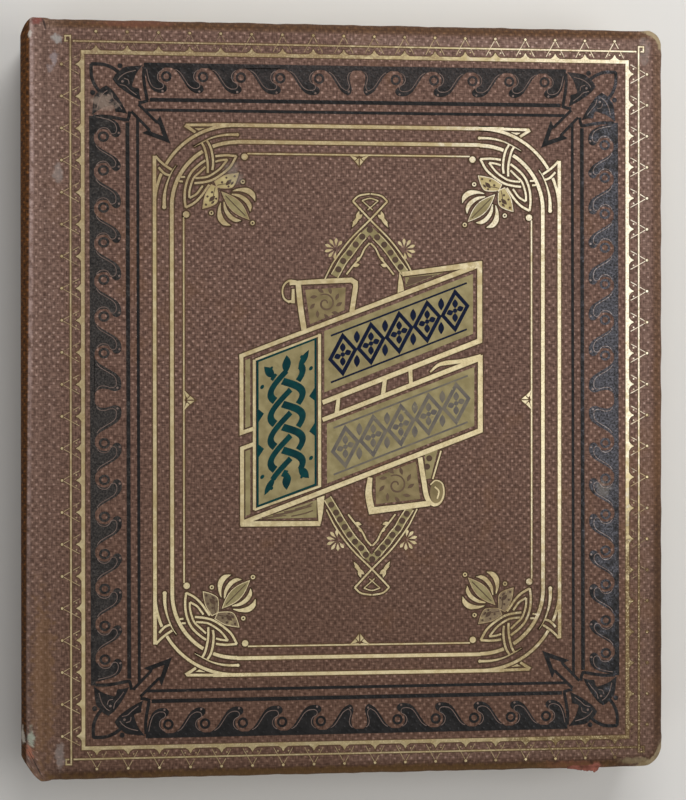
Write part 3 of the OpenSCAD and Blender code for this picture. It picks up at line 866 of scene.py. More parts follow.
def curve(points, count=6, closed=False):
    # Catmull-Rom: each span is a cubic whose end slopes are half the chord between the neighbours
    p = np.asarray(points, complex)
    if closed:
        before, start, after, last = np.roll(p, 1), p, np.roll(p, -1), np.roll(p, -2)
    else:
        held = np.concatenate([[2 * p[0] - p[1]], p, [2 * p[-1] - p[-2]]])
        before, start, after, last = held[:-3], held[1:-2], held[2:-1], held[3:]
    before, start, after, last = (v[:, None] for v in (before, start, after, last))
    t = np.arange(count)[None] / count
    along = 0.5 * (2 * start + (after - before) * t + (2 * before - 5 * start + 4 * after - last) * t ** 2
                   + (3 * start - before - 3 * after + last) * t ** 3)
    return along.ravel() if closed else np.append(along.ravel(), p[-1])


def spread(path, count):
    # The same path with its points evenly spaced along its length
    path = np.asarray(path, complex)
    far = np.concatenate([[0], np.cumsum(np.abs(np.diff(path)))])
    even = np.linspace(0, far[-1], count)
    return np.interp(even, far, path.real) + 1j * np.interp(even, far, path.imag)


def between(first, second):
    # A ruled strip from one curve to another
    count = max(len(first), len(second))
    a, b = spread(first, count), spread(second, count)
    i = np.arange(count - 1)
    return np.concatenate([a, b]), np.stack([i, i + count, i + count + 1, i + 1], -1)


def ribbon(path, width, closed=False):
    # A strip along a path: each point is set off to both sides along the mitred normal
    z = np.asarray(path, complex)
    n = len(z)
    before = np.roll(z, 1) if closed else np.append(2 * z[0] - z[1], z[:-1])
    after = np.roll(z, -1) if closed else np.append(z[1:], 2 * z[-1] - z[-2])
    into, out = ((d / np.maximum(np.abs(d), 1e-9)) for d in (z - before, after - z))
    mean = into + out + 1e-9j * into
    mean = mean / np.maximum(np.abs(mean), 1e-9)
    normal = 1j * mean / np.maximum((mean * into.conj()).real, 0.35)
    half = np.interp(np.linspace(0, 1, n), np.linspace(0, 1, np.size(width)), np.ravel(width)) / 2
    i = np.arange(n if closed else n - 1)
    j = (i + 1) % n
    return np.concatenate([z + normal * half, z - normal * half]), np.stack([i, i + n, j + n, j], -1)


def patch(outline):
    # One flat face inside an outline
    return np.asarray(outline, complex), np.arange(len(outline))[None]


def line(width, *pairs, closed=False):
    return ribbon(at(*pairs), width, closed)


def bend(*pairs, count=6):
    return curve(at(*pairs), count)


def stroke(width, *pairs):
    return ribbon(bend(*pairs), width)


def shape(*pairs):
    return patch(at(*pairs))


def disc(centre, radius, count=14):
    return patch(centre + radius * np.exp(1j * np.linspace(0, math.tau, count, endpoint=False)))


def oval(centre, halfW, halfH, count=20):
    turn = np.linspace(0, math.tau, count, endpoint=False)
    return patch(centre + halfW * np.cos(turn) + 1j * halfH * np.sin(turn))


def ring(centre, inner, outer, count=20):
    way = np.exp(1j * np.linspace(0, math.tau, count, endpoint=False))
    return ribbon(centre + (inner + outer) / 2 * way, outer - inner, True)


def almond(start, end, half, count=8, swell=1.0):
    # A leaf from start to end: its half width is a half sine wave along it
    t = np.linspace(0, 1, count + 1)
    wide = 1j * (end - start) / abs(end - start) * half * np.sin(math.pi * t ** swell)
    rib = start + (end - start) * t
    return patch(np.concatenate([rib + wide, (rib - wide)[-2:0:-1]]))


def moved(parts, place):
    return [(place(p), f) for p, f in parts]


def flipped(parts):
    # The same motif on the other side of the corner's diagonal
    return parts + moved(parts, lambda z: z.imag + 1j * z.real)


def inCorners(parts, w, h):
    # Motif drawn as (along, in) from one corner of a rectangle, put in all four
    made = []
    for sx in (1, -1):
        for sy in (1, -1):
            made += moved(parts, lambda z: sx * (w - z.real) + 1j * sy * (h - z.imag))
    return made


def onSides(parts, w, h, across, up):
    # Motif drawn as (along, in) from a side, repeated along the head and tail and along both long sides
    made = []
    for p in across:
        for s in (1, -1):
            made += moved(parts, lambda z: z.real + p + 1j * s * (h - z.imag))
    for p in up:
        for s in (1, -1):
            made += moved(parts, lambda z: s * (w - z.imag) + 1j * (z.real + p))
    return made


def fourLines(w, h, wide, halfAcross, halfUp):
    # A straight line along each side of a rectangle, of its own half length
    level, upright = (ribbon(np.array([-half, half]), wide) for half in (halfAcross, halfUp))
    return onSides([level], w, h, [0], []) + onSides([upright], w, h, [], [0])


def bothWays(parts):
    # The motif and its mirror image
    return parts + moved(parts, lambda z: -z.conj())


def rimOf(strip):
    # Outline of a strip whose points are one edge and then the other
    half = len(strip) // 2
    return np.concatenate([strip[:half], strip[:half - 1:-1]])


def pressed(parts, grow):
    # The mark that the block leaves round each part: a band along its outline, coloured as painted shade of the
    # impression
    made = []
    for spots, loops in parts:
        n = len(spots) // 2
        if len(loops) == 1:
            rims = [spots[loops[0]]]
        elif len(loops) == n:
            rims = [spots[:n], spots[n:]]
        else:
            rims = [rimOf(spots)]
        made += [ribbon(rim, 2 * grow, True) for rim in rims]
    return made


def lay(name, parts, level, material, body="front_cover"):
    # One piece of all parts, each a step above the one before it, so that parts that cross never share a level
    points, faces, heights, start = [], [], [], 0
    for k, (spots, loops) in enumerate(parts):
        first = spots[loops[0]]
        if (first.conj() * np.roll(first, -1)).imag.sum() < 0:      # clockwise, so turned to face up
            loops = loops[:, ::-1]
        points.append(spots)
        rank = k % blocking["steps"] + 1 if k else 0
        heights.append(np.full(len(spots), rank * blocking["step"]))
        faces += (loops + start).tolist()
        start += len(spots)
    flat = (np.concatenate(points) + blocking["middle"]) * mm
    high = album["top"] + (levels[level] + np.concatenate(heights)) * mm
    if body == "back_cover":
        high, faces = album["top"] - high, [f[::-1] for f in faces]
    made = addPiece(name, np.stack([flat.real, flat.imag, high], -1), faces, material, smooth=False)
    thicken(made, blocking["thick"] * mm)
    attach(made, body)


# Outer gold border: a thick and a thin frame, with a row of darts, zigzags and dots between them

goldFrame = {
    "thick": (108.0, 135.0, 1.35), "thin": (112.7, 139.2, 0.58), "short": .9, "past": 1.95, "pitch": (12.1, 12.4),
    "count": (9, 11), "dart": .28, "mark": .3,
}


def rectangle(w, h):
    return at((-w, -h), (w, -h), (w, h), (-w, h))


w, h, wide = goldFrame["thick"]
goldParts = [ribbon(rectangle(w, h), wide, True)]
thin = goldFrame["dart"]
dart = [
    line(thin, (-3.7, -1.4), (-.35, -7.4)), line(thin, (3.7, -1.4), (2.35, -3.9)),
    line(thin, (1.6, -5.2), (.35, -7.4)), disc(-2.1 - 2.6j, .34, 8), disc(2.1 - 2.6j, .34, 8),
]
spots = [(np.arange(-n, n) + 0.5) * p for n, p in zip(goldFrame["count"], goldFrame["pitch"])]
lay("borderDarts", onSides(dart, w, h, *spots), "dart", thinGold)
tooth = between(
    at((-1.9, -.4), (-.9, -.4), (0, -.4), (.9, -.4), (1.9, -.4)),
    at((-1.9, -.65), (-.95, -1.1), (0, -2.75), (.95, -1.1), (1.9, -.65)))
goldParts += onSides([tooth, disc(-8.1j, .52, 12)], w, h, *spots)
w, h, wide = goldFrame["thin"]
short, past = goldFrame["short"], goldFrame["past"]
goldParts += fourLines(w, h, wide, w - short, h - short)
goldParts += inCorners([line(wide, (0, short), (0, -past), (-past, -past), (-past, 0), (-.8, 0))], w, h)
lay("goldBorder", goldParts, "gold", goldFoil)
lay("goldBorderMark", pressed(goldParts, goldFrame["mark"]), "pressed", pressedShade)


# Black border: waves that curl over round eyes, a knot-like leaf and a spear in each corner, and two fillets

blackFrame = {
    "half": (104.4, 131.0),
    "eyes": (np.array([15.2, 30.5, 45.9, 60.7, 75.0]), np.array([17.5, 31.7, 46.0, 60.5, 74.0, 88.4, 101.5])),
    "ends": (83.7, 110.5), "squeeze": (1.0, .937), "deep": (1.02, 1.06), "leftUp": 1.0, "shift": -.42, "turn": .0018,
    "fillets": ((90.1, 117.05, 1.5, 22.9), (86.2, 113.05, 1.15, 21.4)), "base": (.45, 1.8), "archReach": 4.2,
    "archMost": 1.25, "inset": .74, "vein": .27, "cornerVein": .3, "eye": (4.7, 1.15, 2.05),
}
# Sides of a wave as places along and in: round the eye to the tip, round the middle bay, down the back,
# and down to the corner
curlSide = at(
    (-.3, 1.0), (1.3, 1.7), (2.6, 3.1), (3.0, 4.9), (2.6, 6.3), (1.7, 7.3), (.2, 8.2), (-.2, 9.5), (.5, 10.6),
    (2.0, 11.0))
archSide = at((.2, 1.1), (1.7, 1.5), (2.7, 2.7), (3.0, 4.4), (2.7, 6.5), (2.2, 8.2), (2.4, 9.8), (3.4, 10.9))
backSide = at((-10.8, 10.7), (-8.8, 9.4), (-7.3, 7.4), (-5.8, 5.1), (-4.3, 3.0), (-2.5, 1.6), (-.9, 1.1))
lastSide = at((3.6, 10.8), (5.5, 9.8), (7, 7.5), (8, 4), (8.6, 1))


def waveRow(eyes, squeeze):
    # Bodies of the waves from the middle of a side to one end, each between two bays, with its veins and eyes
    backs = [eye + squeeze * backSide.real + 1j * backSide.imag for eye in eyes] + [eyes[-1] + lastSide]
    stretch = min(backs[0][0].real / blackFrame["archReach"], blackFrame["archMost"])
    fronts = [stretch * archSide.real + 1j * archSide.imag] + [eye + curlSide for eye in eyes]
    black, pale = [], []
    for front, back in zip(fronts, backs):
        outline = curve(np.concatenate([front, back]), 4)
        black.append(patch(outline))
        heart = (front[2] + back[len(back) // 2]) / 2
        inset = heart + blackFrame["inset"] * (outline - heart)
        pale.append(ribbon(inset[inset.imag > 2.0], blackFrame["vein"]))
        pale.append(disc(front[-2] + 1.0 - .3j, .45, 8))
    into, inner, outer = blackFrame["eye"]
    black += [ring(eye + 1j * into, inner, outer) for eye in eyes]
    return bothWays(black), bothWays(pale)


w, h = blackFrame["half"]
blackParts, veinParts = [], []
for k, (eyes, end) in enumerate(zip(blackFrame["eyes"], blackFrame["ends"])):
    where = ([0], []) if k == 0 else ([], [0])
    for parts, made in zip((blackParts, veinParts), waveRow(eyes, blackFrame["squeeze"][k])):
        made = moved(made, lambda z: z.real + 1j * blackFrame["deep"][k] * z.imag)
        parts += moved(onSides(made, w, h, *where), lambda z: z + 1j * k * blackFrame["leftUp"] * (z.real < 0))
    into, wide = blackFrame["base"]
    blackParts += onSides([ribbon(np.array([-end, end]) + 1j * into, wide)], w, h, *where)

wing = np.concatenate([
    bend((20.2, .6), (13.5, 1.4), (11.5, 2.8), (9.8, 4.2), (8.6, 6.2), count=4),
    bend((8.6, 6.2), (10.2, 8.3), (12.5, 10.2), (15.9, 12.4), (19.6, 14.3), count=4)[1:],
    bend((19.6, 14.3), (19.0, 11.8), (18.9, 9.7), count=3)[1:],
    bend((18.9, 9.7), (16.3, 8.9), (16.6, 6.9), (17.8, 3.8), (20.2, .6), count=4)[1:-1]])
corner = [
    stroke(1.3, (.3, .4), (3, .35), (5.6, .6), (8.6, 1.8), (11, 3.5)), patch(wing),
    shape((26.9, 19.9), (30.9, 31.0), (29.4, 30.2), (28.2, 28.6), (26.5, 23.6), (25.4, 22.9), (26.0, 21.8)),
    line(1.1, (18.6, 15.8), (25.9, 22.9)),
    stroke(1.2, (18.6, 15.1), (20.4, 14.9), (22.4, 14.2)), stroke(1.25, (22.0, 14.2), (20.7, 6.5), (20.7, 1.2)),
    disc(11.5 + .95j, 1.0),
]
vein = blackFrame["cornerVein"]
cornerVeins = [
    stroke(vein, (17.6, 2.6), (14, 3.6), (11.6, 5.2), (10.6, 6.6)),
    stroke(vein, (11.4, 8.2), (13.6, 8.8), (15.4, 10.4), (17.8, 12.2)),
    stroke(vein, (13, 5.8), (14.6, 6.4), (15, 8)), disc(12.4 + 7j, .5, 10),
]
blackParts += inCorners(flipped(corner), w, h)
veinParts += inCorners(flipped(cornerVeins), w, h)
for fw, fh, wide, short in blackFrame["fillets"]:
    blackParts += fourLines(fw, fh, wide, w - short, h - short)


def askew(parts):
    # The black block stands a little askew to the gold one
    return moved(parts, lambda z: z * np.exp(1j * blackFrame["turn"]) + blackFrame["shift"])


lay("blackBorder", askew(blackParts), "black", blackFoil)
lay("blackVeins", askew(veinParts), "line", veinCloth)


# Inner gold fillets with a knot, a bud and leaves in each corner

# Half width, half height and line width of each fillet, and how far its level and its upright lines stop short
# of the corner
goldFillets = {
    "first": (80.3, 107.5, 1.34, 22.5, 12.4), "second": (73.6, 101.0, 1.38, 31.9, 31.9),
    "third": (69.0, 96.4, .55, 36.2, 36.2),
}
filletMark = {"fillets": .45, "knots": .6}
fw, fh = goldFillets["first"][:2]
filletParts = []
for w, h, wide, short, sideShort in goldFillets.values():
    filletParts += fourLines(w, h, wide, fw - short, fh - sideShort)


def arc(centre, radius, start, end, count=16):
    return centre + radius * np.exp(1j * np.radians(np.linspace(start, end, count)))


# Knot in a corner, as places along and in from the corner of the first fillet: two arcs, and three strands
# of double lines that pass over and under each other
turns = [
    ribbon(arc(31.9 + 31.8j, 31.8, 270, 210.6, 24), (1.34, 1.12, 1.08)),
    ribbon(arc(31.9 + 31.8j, 31.8, 203.2, 181, 10), (1.08, .9)),
    ribbon(arc(32.0 + 32.0j, 25.3, 270, 248.2, 10), (1.38, 1.3)),
    ribbon(arc(32.0 + 32.0j, 25.3, 238.4, 180, 24), (1.3, 1.38)),
    # ears
    line(1.05, (23.0, .05), (12.3, .25)), line((1.25, .95), (11.9, .35), (15.9, 3.0)),
    shape((15.7, 1.5), (19.6, 1.3), (17.2, 2.35)),
    stroke(.85, (.35, 12.5), (1.9, 14.2), (4.0, 16.0), (6.7, 17.8)),
    stroke(.85, (1.6, 16.9), (2.6, 18.0), (4.0, 19.3), (5.9, 20.0)),
    stroke(
        (1.3, 1.15, .8, .55, .4, .2), (3.75, 32.4), (3.8, 28.6), (4.25, 25.4), (5.2, 22.1), (6.7, 18.6), (8.3, 16.2)),
    stroke(
        (.95, .85, .7, .5, .4, .2), (32.4, 3.75), (28.6, 3.8), (25.4, 4.25), (22.1, 5.2), (18.6, 6.9), (15.5, 8.6)),
    disc(32.3 + 3.75j, .62, 10), disc(3.75 + 32.3j, .8, 10),
]
knotLine = {"outer": .84, "inner": .75, "rim": .3}
outer, inner, rim = knotLine.values()
strands = [
    stroke(outer, (31.9, 12.1), (28.2, 11.85), (25.6, 12.0), (23.7, 12.3)),
    stroke(outer, (19.8, 13.9), (17.1, 15.9), (14.4, 18.6), (12.8, 21.7), (11.9, 25.2), (11.7, 29), (12.1, 32.4)),
    stroke(inner, (28.4, 13.5), (25.9, 13.8), (23.7, 14.4)),
    stroke(inner, (19.8, 16.4), (17.5, 18.6), (15.5, 20.5), (14.4, 22.8), (13.6, 25.9), (13.5, 28.6)),
    stroke(outer, (31.9, 12.1), (29.8, 15.9), (27.5, 18.2), (24.8, 20.2), (22.1, 21.7), (19, 22.5), (15.5, 22.9)),
    stroke(inner, (28.4, 13.5), (25.9, 16.7), (23.6, 18.6), (20.9, 20.2), (18.6, 20.7), (15.9, 20.9)),
    line(.7, (11.0, 22.3), (9.5, 22.1)), line(.7, (11.9, 20.5), (10.3, 20.5)),
    stroke(outer, (12.1, 32.4), (15.5, 30.5), (18.2, 27.8), (20, 25.2), (21.3, 23.4)),
    stroke(inner, (13.6, 28.7), (16.3, 27.1), (17.8, 25.2), (18.8, 23.8)),
    stroke(outer, (20.7, 18.8), (20.7, 15.5), (20.3, 12.5), (19.4, 9), (18.2, 6.9)),
    stroke(outer, (22.5, 17.7), (22.8, 15.2), (22.5, 11.7), (21.7, 8.6), (20.4, 6.3)),
]
petals = [
    disc(35.1 + 12.3j, 1.25), ring(34.4 + 22.1j, .4, .85, 12),
    between(
        bend((30.4, 25.6), (33, 24.7), (36.5, 24.6), (39.0, 26.6), (39.3, 29.4)),
        bend((30.4, 25.9), (33.2, 25.8), (36, 26.6), (37.8, 27.9), (39.1, 29.5))),
    between(
        bend((30, 26.8), (33.3, 27.1), (36.3, 28.9), (37.8, 31.4), (37.4, 33.6)),
        bend((30, 27.2), (33, 28.3), (35.3, 30.1), (36.5, 31.9), (37.2, 33.7))),
]
knot = turns + strands + flipped(petals) + [ring(38.2 + 38.2j, .4, .85, 12)]
leaf = between(
    bend((23.3, 22.1), (26.7, 20.0), (29.4, 19.2), (32.7, 18.7)),
    bend((24.4, 24.5), (27.5, 24.7), (30.2, 24.3), (31.7, 22.1), (32.7, 18.9)))
bud = almond(26.2 + 26.2j, 36.8 + 36.8j, 2.25, 12)
specks = [
    disc(26.3 + 22.4j, .5, 8), almond(27.7 + 23.6j, 30.0 + 21.2j, .8), disc(31.2 + 20.0j, .5, 8),
    almond(29.6 + 23.4j, 30.9 + 22.0j, .45), disc(28.0 + 20.6j, .45, 8), disc(28.8 + 24.0j, .45, 8),
    stroke(.3, (24.4, 23.6), (26.0, 23.2), (27.8, 23.0))]
budLines = [line(.35, (27.6, 27.6), (35.4, 35.4)), disc(25.1 + 25.1j, .6, 10)]
leafRim = ribbon(rimOf(leaf[0]), rim, True)
lay("cornerLeaves", inCorners(flipped([leaf]), fw, fh), "panel", leafGilt)
lay("cornerBuds", inCorners([bud], fw, fh), "panel", giltPanel)
lay("cornerLeafLines", inCorners(flipped(specks) + budLines, fw, fh), "ink", darkInk)
lay("cornerLeafRims", inCorners(flipped([leafRim]) + [ribbon(bud[0], rim, True)], fw, fh), "gold", thinGold)
knotParts = inCorners(knot, fw, fh)
fleuron = bothWays([
    shape((3.9, .1), (1.75, 2.2), (.9, 1.3), (1.5, .8)), shape((3.4, .1), (.4, .1), (.4, .5), (1.6, .5)),
    shape((.25, 1.2), (.25, 4.1), (1.6, 2.5))])
filletParts += onSides(fleuron, *goldFillets["third"][:2], [0], [0])
lay("goldFillets", filletParts, "gold", goldFoil)
lay("goldFilletsMark", pressed(filletParts, filletMark["fillets"]), "pressed", pressedShade)
lay("cornerKnots", knotParts, "knot", goldFoil)
markParts = knotParts + inCorners(flipped([leaf]) + [bud], fw, fh)
lay("cornerKnotsMark", pressed(markParts, filletMark["knots"]), "pressed", deepPressedShade)
print("borders blocked")


# Middle device: a folded ribbon over two scrolls and a dotted lozenge. The ribbon holds a plain repeat

device = {"edge": 1.5, "band": 2.9, "dot": 1.22, "bandLine": .4, "mark": .5}
edge = device["edge"]
panels = [
    shape((-13.9, 27.1), (45.4, 49.9), (45.4, 26.2), (-13.9, 3.0)),
    shape((-12.9, -9.4), (45.9, 13.0), (45.9, -10.3), (-12.9, -32.8)),
    shape((-40.3, 15.4), (-17.3, 24.4), (-17.3, -33.4), (-40.3, -41.7)),
    shape((-45.0, 15.6), (-43.1, 16.3), (-43.1, -10.2), (-45.0, -10.9)),
    shape((-45.0, -20.0), (-43.1, -19.3), (-43.1, -44.6), (-45.0, -45.4)),
    shape((18.2, 48.4), (33.8, 50.4), (18.5, 44.6)), shape((-39.6, -46.6), (-17.0, -39.2), (-17.0, -46.2)),
]
scrollPanels = [
    shape((-21.4, 43.3), (-5.4, 44.3), (-5.9, 35.4), (-19.5, 29.8)),
    shape((6.4, -30.4), (22.4, -24.4), (24.2, -39.2), (6.5, -41.1)),
    oval(30.8 - 36.7j, 2.7, 4.7),
]
deviceGold = [
    # upper and lower ribbon
    line((1.5, 1.5, 1.95, 1.95, 1.75), (-46.6, 16.0), (-46.6, 17.3), (48.1, 53.6), (48.1, 23.4), (-14.6, -1.0)),
    line((1.65, 1.85, 1.95, 1.75), (-14.6, -7.8), (48.3, 16.5), (48.3, -12.2), (-46.6, -48.2)),
    # folds
    shape((17.0, 50.5), (48.9, 55.1), (48.9, 53.4), (40.8, 51.8), (17.2, 48.8)),
    shape((15.2, 42.2), (15.4, 45.3), (16.0, 50.4), (17.1, 47.2), (17.8, 43.2)),
    shape((-46.9, -47.4), (-15.6, -47.6), (-15.6, -49.5), (-46.9, -49.5)),
    shape((-16.9, -38.6), (-13.9, -37.6), (-14.5, -44.0), (-15.4, -48.8), (-16.2, -48.8)),
    line(edge, (-46.5, 17.4), (-46.5, -12.8), (-41.6, -11.1)),
    line(edge, (-41.6, -17.2), (-46.3, -18.9), (-46.3, -49.0)),
    line(1.15, (-41.5, 15.8), (-41.5, -43.0)), line(1.2, (-15.8, 26.0), (-15.8, -34.2)),
    line(.8, (-41.0, 15.8), (-15.8, 25.5)), line(.9, (-41.5, -43.0), (-15.8, -33.9)),
    shape((-9.0, .7), (-7.6, 1.2), (-8.1, -4.6), (-9.9, -5.3)),
    shape((9.3, 7.7), (10.9, 8.3), (10.3, 2.8), (8.5, 2.1)),
    shape((19.5, 11.7), (21.0, 12.2), (21.2, 7.0), (19.8, 6.4)),
    stroke((.6, 1.7, 1.4), (28.2, 11.0), (31.2, 13.6), (34.5, 14.6), (41.0, 15.4), (48.6, 17.4)),
    # scrolls
    stroke(2.1, (-21.9, 27.6), (-23.2, 36), (-24.2, 45.8)),
    ribbon(
        np.concatenate([
            bend((-27.6, 45.8), (-15, 46.6), (-3.2, 47.2)), at((-1.6, 46.2), (-1.5, 44.6), (-3.0, 34.6))]),
        (1.5, 1.9, 1.9)),
    stroke(
        (1.3, .7, .6, .6, .8), (-25.0, 46.3), (-27.8, 46.7), (-29.8, 45.0), (-30.4, 42.4), (-29.7, 39.8),
        (-27.6, 38.3)),
    line((1.0, 1.4), (-26.2, 43.6), (-26.2, 38.0)), line((.7, 1.3), (-28.2, 38.7), (-25.7, 38.7)),
    ribbon(
        np.concatenate([
            bend((4.2, -30.6), (3.6, -37.1), (4.8, -43.7)), bend((4.8, -43.7), (16, -42.4), (28.0, -40.9))[1:]]),
        (1.8, 2.6, 2.6, 2.3, 2.1)),
    stroke(
        (1.9, 1.9, .8, .5, .45), (24.1, -22.8), (25.6, -32), (26.9, -38.6), (29.4, -41.4), (32.2, -40.6),
        (33.6, -37.2), (33, -33.2), (30.4, -31.9), (28.2, -33.6)),
    stroke(.6, (30.0, -34.4), (31.6, -36.2), (31.0, -39.2)),
]
# Lozenge: the upper and lower points come out from behind the ribbon, each with two rows of dots along curved bands
arms = [
    (at((4.2, 67.1), (1.2, 64.3), (-1.4, 61.2), (-3.9, 57.8), (-6.4, 54.7), (-8.3, 51.4)),
     at((7.1, 64.1), (9.9, 61.2), (12.4, 58.1), (14.3, 55.3), (16.4, 52.5))),
    (at(
        (5, -62.8), (2.5, -61), (.6, -58.3), (-1.8, -55.8), (-4, -53), (-5.9, -50), (-7.8, -47), (-9.3, -44.3),
        (-11.2, -41.2)),
     at((7.3, -60.5), (9.2, -58.2), (11.2, -56), (13.1, -53.3), (15.3, -50.7), (17, -47.7), (18.8, -45))),
]
bands = [shape((26.0, -21.6), (31.2, -19.8), (28.4, -31.0), (26.4, -31.4))]
dots = list(at((27.8, -23.1), (26.9, -26.4)))
for first, second in arms:
    dots += [*first, *second]
    for row in (first, np.append(first[0], second)):
        band = ribbon(curve(np.append(row, row[-1] + .8 * (row[-1] - row[-2]))), device["band"])
        bands.append(band)
        deviceGold += [ribbon(rim[5:], device["bandLine"]) for rim in np.split(band[0], 2)]
dotParts = [disc(c, device["dot"]) for c in dots]


def palmette(heart, way, count=7, fan=210, long=4.6):
    # Round-ended petals fanned about a direction, longest in the middle
    turn = np.radians(np.linspace(-fan / 2, fan / 2, count) + way)
    reach = long * (0.84 + 0.16 * np.cos(np.linspace(-1, 1, count) * 1.4))
    return [almond(heart + .8 * np.exp(1j * a), heart + r * np.exp(1j * a), .62, 7, 2.0) for a, r in zip(turn, reach)]


def lozengeEnd(tip, up):
    # Lines, leaves and palmettes of one point, drawn for the head and turned over for the tail
    side = [
        stroke((.5, .6, .7), (-16.7, -19.5), (-14.0, -14.6), (-8.0, -6.6), (.2, 1.6), (6.8, 8.6)),
        stroke(.6, (-9.4, -20.2), (-6.6, -16.6), (-3.9, -13.4), (-2.2, -10.0), (-.2, -7.8)),
        almond(-6.9 - 16.9j, -4.2 - 16.2j, .7), almond(-5.2 - 15.2j, -4.2 - 13.2j, .55),
        stroke(.6, (-6.9, 8.6), (-4.4, 10.8), (-.2, 11.6)), line(.4, (-3.2, 8.9), (1.0, 5.2)),
        almond(-7.2 - 1.6j, -4.2 + 3.2j, .7), almond(-5.8 + 1.4j, -3.0 + 3.4j, .8),
        almond(-4.4 + 4.8j, -5.4 + 1.4j, .65),
        almond(-7.0 + .4j, -4.6 + 1.2j, .5),
    ]
    top = [stroke(.45, (-3.2, 8.9), (0, 9.8), (3.2, 8.9))]
    fan = palmette(-13.6 - 10.2j, 158)
    return [moved(parts, lambda z: tip + (z if up else z.conj())) for parts in (bothWays(side) + top, bothWays(fan))]


fans = []
for tip, up in ((4.3 + 69.6j, True), (4.9 - 65.3j, False)):
    lines, fan = lozengeEnd(tip, up)
    deviceGold += lines
    fans += fan
deviceGold += [line(.6, (32.5, -20.2), (29.2, -31.3))]
# Lines that run on behind the scrolls
deviceGold += [line(.5, *ends) for ends in (
    ((-12.4, 50.1), (-13.7, 47.4)), ((-11.8, -45.8), (-13.1, -43.1)), ((21.6, -45.8), (22.9, -43.1)))]


flowers = {
    "count": 5, "size": 7.4, "wide": .72, "rim": 1.45, "eye": .9, "petal": (.62, 1.15), "squat": .8,
    "leaf": (.98, .3, 1.2), "line": (1.24, .42, .7),
}


def repeat(start, end):
    # Row of lozenges with a four-petalled flower in each and a pair of leaves in each gap, along a slope,
    # between two lines
    count, size, wide, rim, eye, (reach, petalHalf), squat, *leafAndLine = flowers.values()
    (leafFrom, leafTo, leafHalf), (off, past, lineWide) = leafAndLine
    step = (end - start) / (count - 1)
    up, along = 1j, step / abs(step)
    made = []
    for k in range(count):
        c, gap = start + step * k, start + step * (k + .5)
        made += [ribbon(c + size * np.array([up, wide * along, -up, -wide * along]), rim, True), disc(c, eye)]
        ways = (up, -up, squat * along, -squat * along)
        made += [almond(c + eye * d, c + reach * size * d, petalHalf) for d in ways]
        if k < count - 1:
            made += [almond(gap + leafFrom * size * d, gap + leafTo * size * d, leafHalf) for d in (up, -up)]
    ends = np.array([start - past * step, end + past * step])
    return made + [ribbon(ends + s * off * size * up, lineWide) for s in (1, -1)]


lay("devicePanels", panels + bands, "panel", giltPanel)
lay("scrollPanels", scrollPanels, "panel", scrollFill)
lay("deviceGold", deviceGold, "gold", goldFoil)
lay("deviceMark", pressed(deviceGold, device["mark"]), "pressed", deepPressedShade)
lay("lozengeFans", fans, "gold", goldFoil)
lay("lozengeDots", dotParts, "dot", darkInk)
lay("upperRepeat", repeat(-6.6 + 17.9j, 38.2 + 35.3j), "ink", navyInk)
lay("lowerRepeat", repeat(-5.6 - 18.4j, 38.6 - 1.4j), "ink", fadedInk)


def greenPlace(z):
    # Upright motif leant with the panel's sloping ends
    return -28.8 - 8.8j + z + .38j * z.real


plait = {"half": 6.3, "period": 27.0, "strap": 2.5, "gap": .043}


def plaitStrands(half, period, strap, gap):
    # Three waves a third of a turn apart. Each passes under another a sixth of a turn before it comes to an edge
    made = []
    for phase in (0, 1 / 3, 2 / 3):
        ends = np.array([phase - .75, phase + .75])
        under = 1 / 3 + np.arange(-4, 5) / 2
        stops = np.sort(np.concatenate([ends, under[(under > ends[0]) & (under < ends[1])]]))
        for first, last in zip(stops[:-1], stops[1:]):
            u = np.linspace(first + gap * (first > ends[0]), last - gap * (last < ends[1]), 18)
            made.append(ribbon(half * np.cos(math.tau * u) + 1j * period * (u - phase), strap))
    return made


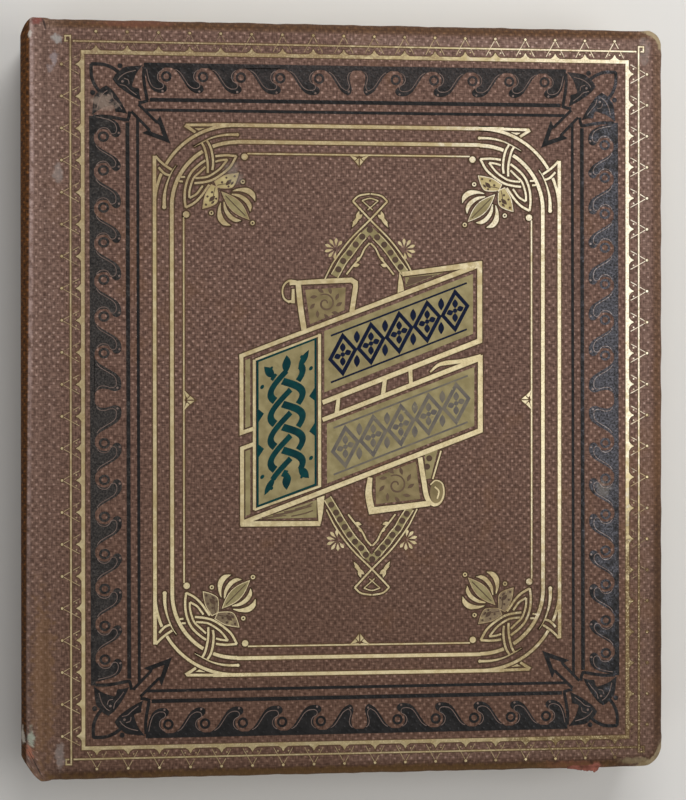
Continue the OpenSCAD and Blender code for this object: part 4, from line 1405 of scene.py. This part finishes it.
greenMotif = plaitStrands(**plait)
for s in (1, -1):
    greenMotif += [
        almond(s * 19.2j, s * 26.4j, 1.7, 10), disc(s * 23.6j - 5.9, .6, 10), disc(s * 23.6j + 5.9, .6, 10)]
    for t in (1, -1):
        greenMotif += [
            almond(complex(t * 4.6, s * 19.2), complex(t * 8.8, s * 25.2), 1.4, 10),
            disc(complex(t * 9.6, s * 17.6), .8),
            shape((t * 11.2, s * 9.6), (t * 11.2, s * 4.2), (t * 8.9, s * 6.9))]
greenFrame = line(.8, (-40.2, 15.2), (-17.4, 24.1), (-17.4, -33.2), (-40.2, -41.6), closed=True)
lay("greenStrap", [greenFrame] + moved(greenMotif, greenPlace), "ink", greenInk)
sprigs = []
for heart, size in ((-13.4 + 38.0j, 1.0), (14.6 - 33.6j, 1.1)):
    spiral = heart + size * (.6 + np.linspace(0, 3.2, 30)) * np.exp(1j * np.linspace(0, 8.4, 30))
    sprigs += [ribbon(spiral, (.5, .8, .5))]
    for a in np.linspace(.3, 6.0, 9):
        root, tip = (heart + size * far * np.exp(1j * turn) for far, turn in ((4.2, a), (6.6, a + .35)))
        sprigs.append(almond(root, tip, .7))
sprigs += [stroke(.5, (21, 47.4), (25, 48.4), (29, 49.2)), stroke(.5, (-33, -45.4), (-26, -43.6), (-19, -41.6)),
           stroke(.5, (-27, -45.6), (-22, -44.6), (-18.4, -43.4))]
sprigs += [line((.9, .3), (-38.6 + 4.4 * k, -46.3 + 1.1 * k), (-29.0 + 2.6 * k, -45.2 + 1.2 * k)) for k in range(5)]
sprigs += [line((.9, .3), (18.6 + .4 * k, 45.3 + .9 * k), (25.0 + 2.0 * k, 47.4 + .7 * k)) for k in range(4)]
lay("scrollSprigs", sprigs, "ink", brownInk)
print("device blocked")


# Back cover: two plain fillets pressed without leaf, with a small loop in each corner, drawn as painted shade of the
# impression

blindFrame = {"outer": (110.0, 136.6, 1.5), "inner": (105.4, 132.0, .7), "loop": (7.5, 1.0)}
blindParts = [ribbon(rectangle(w, h), wide, True) for w, h, wide in (blindFrame["outer"], blindFrame["inner"])]
w, h = blindFrame["inner"][:2]
size, wide = blindFrame["loop"]
loop = curve(size * at((.1, .1), (1.0, .45), (1.5, 1.5), (.45, 1.0)), 8, True)
blindParts += inCorners([ribbon(loop, wide, True)], w, h)
lay("blindFrame", blindParts, "pressed", deepPressedShade, "back_cover")
print("back cover pressed")
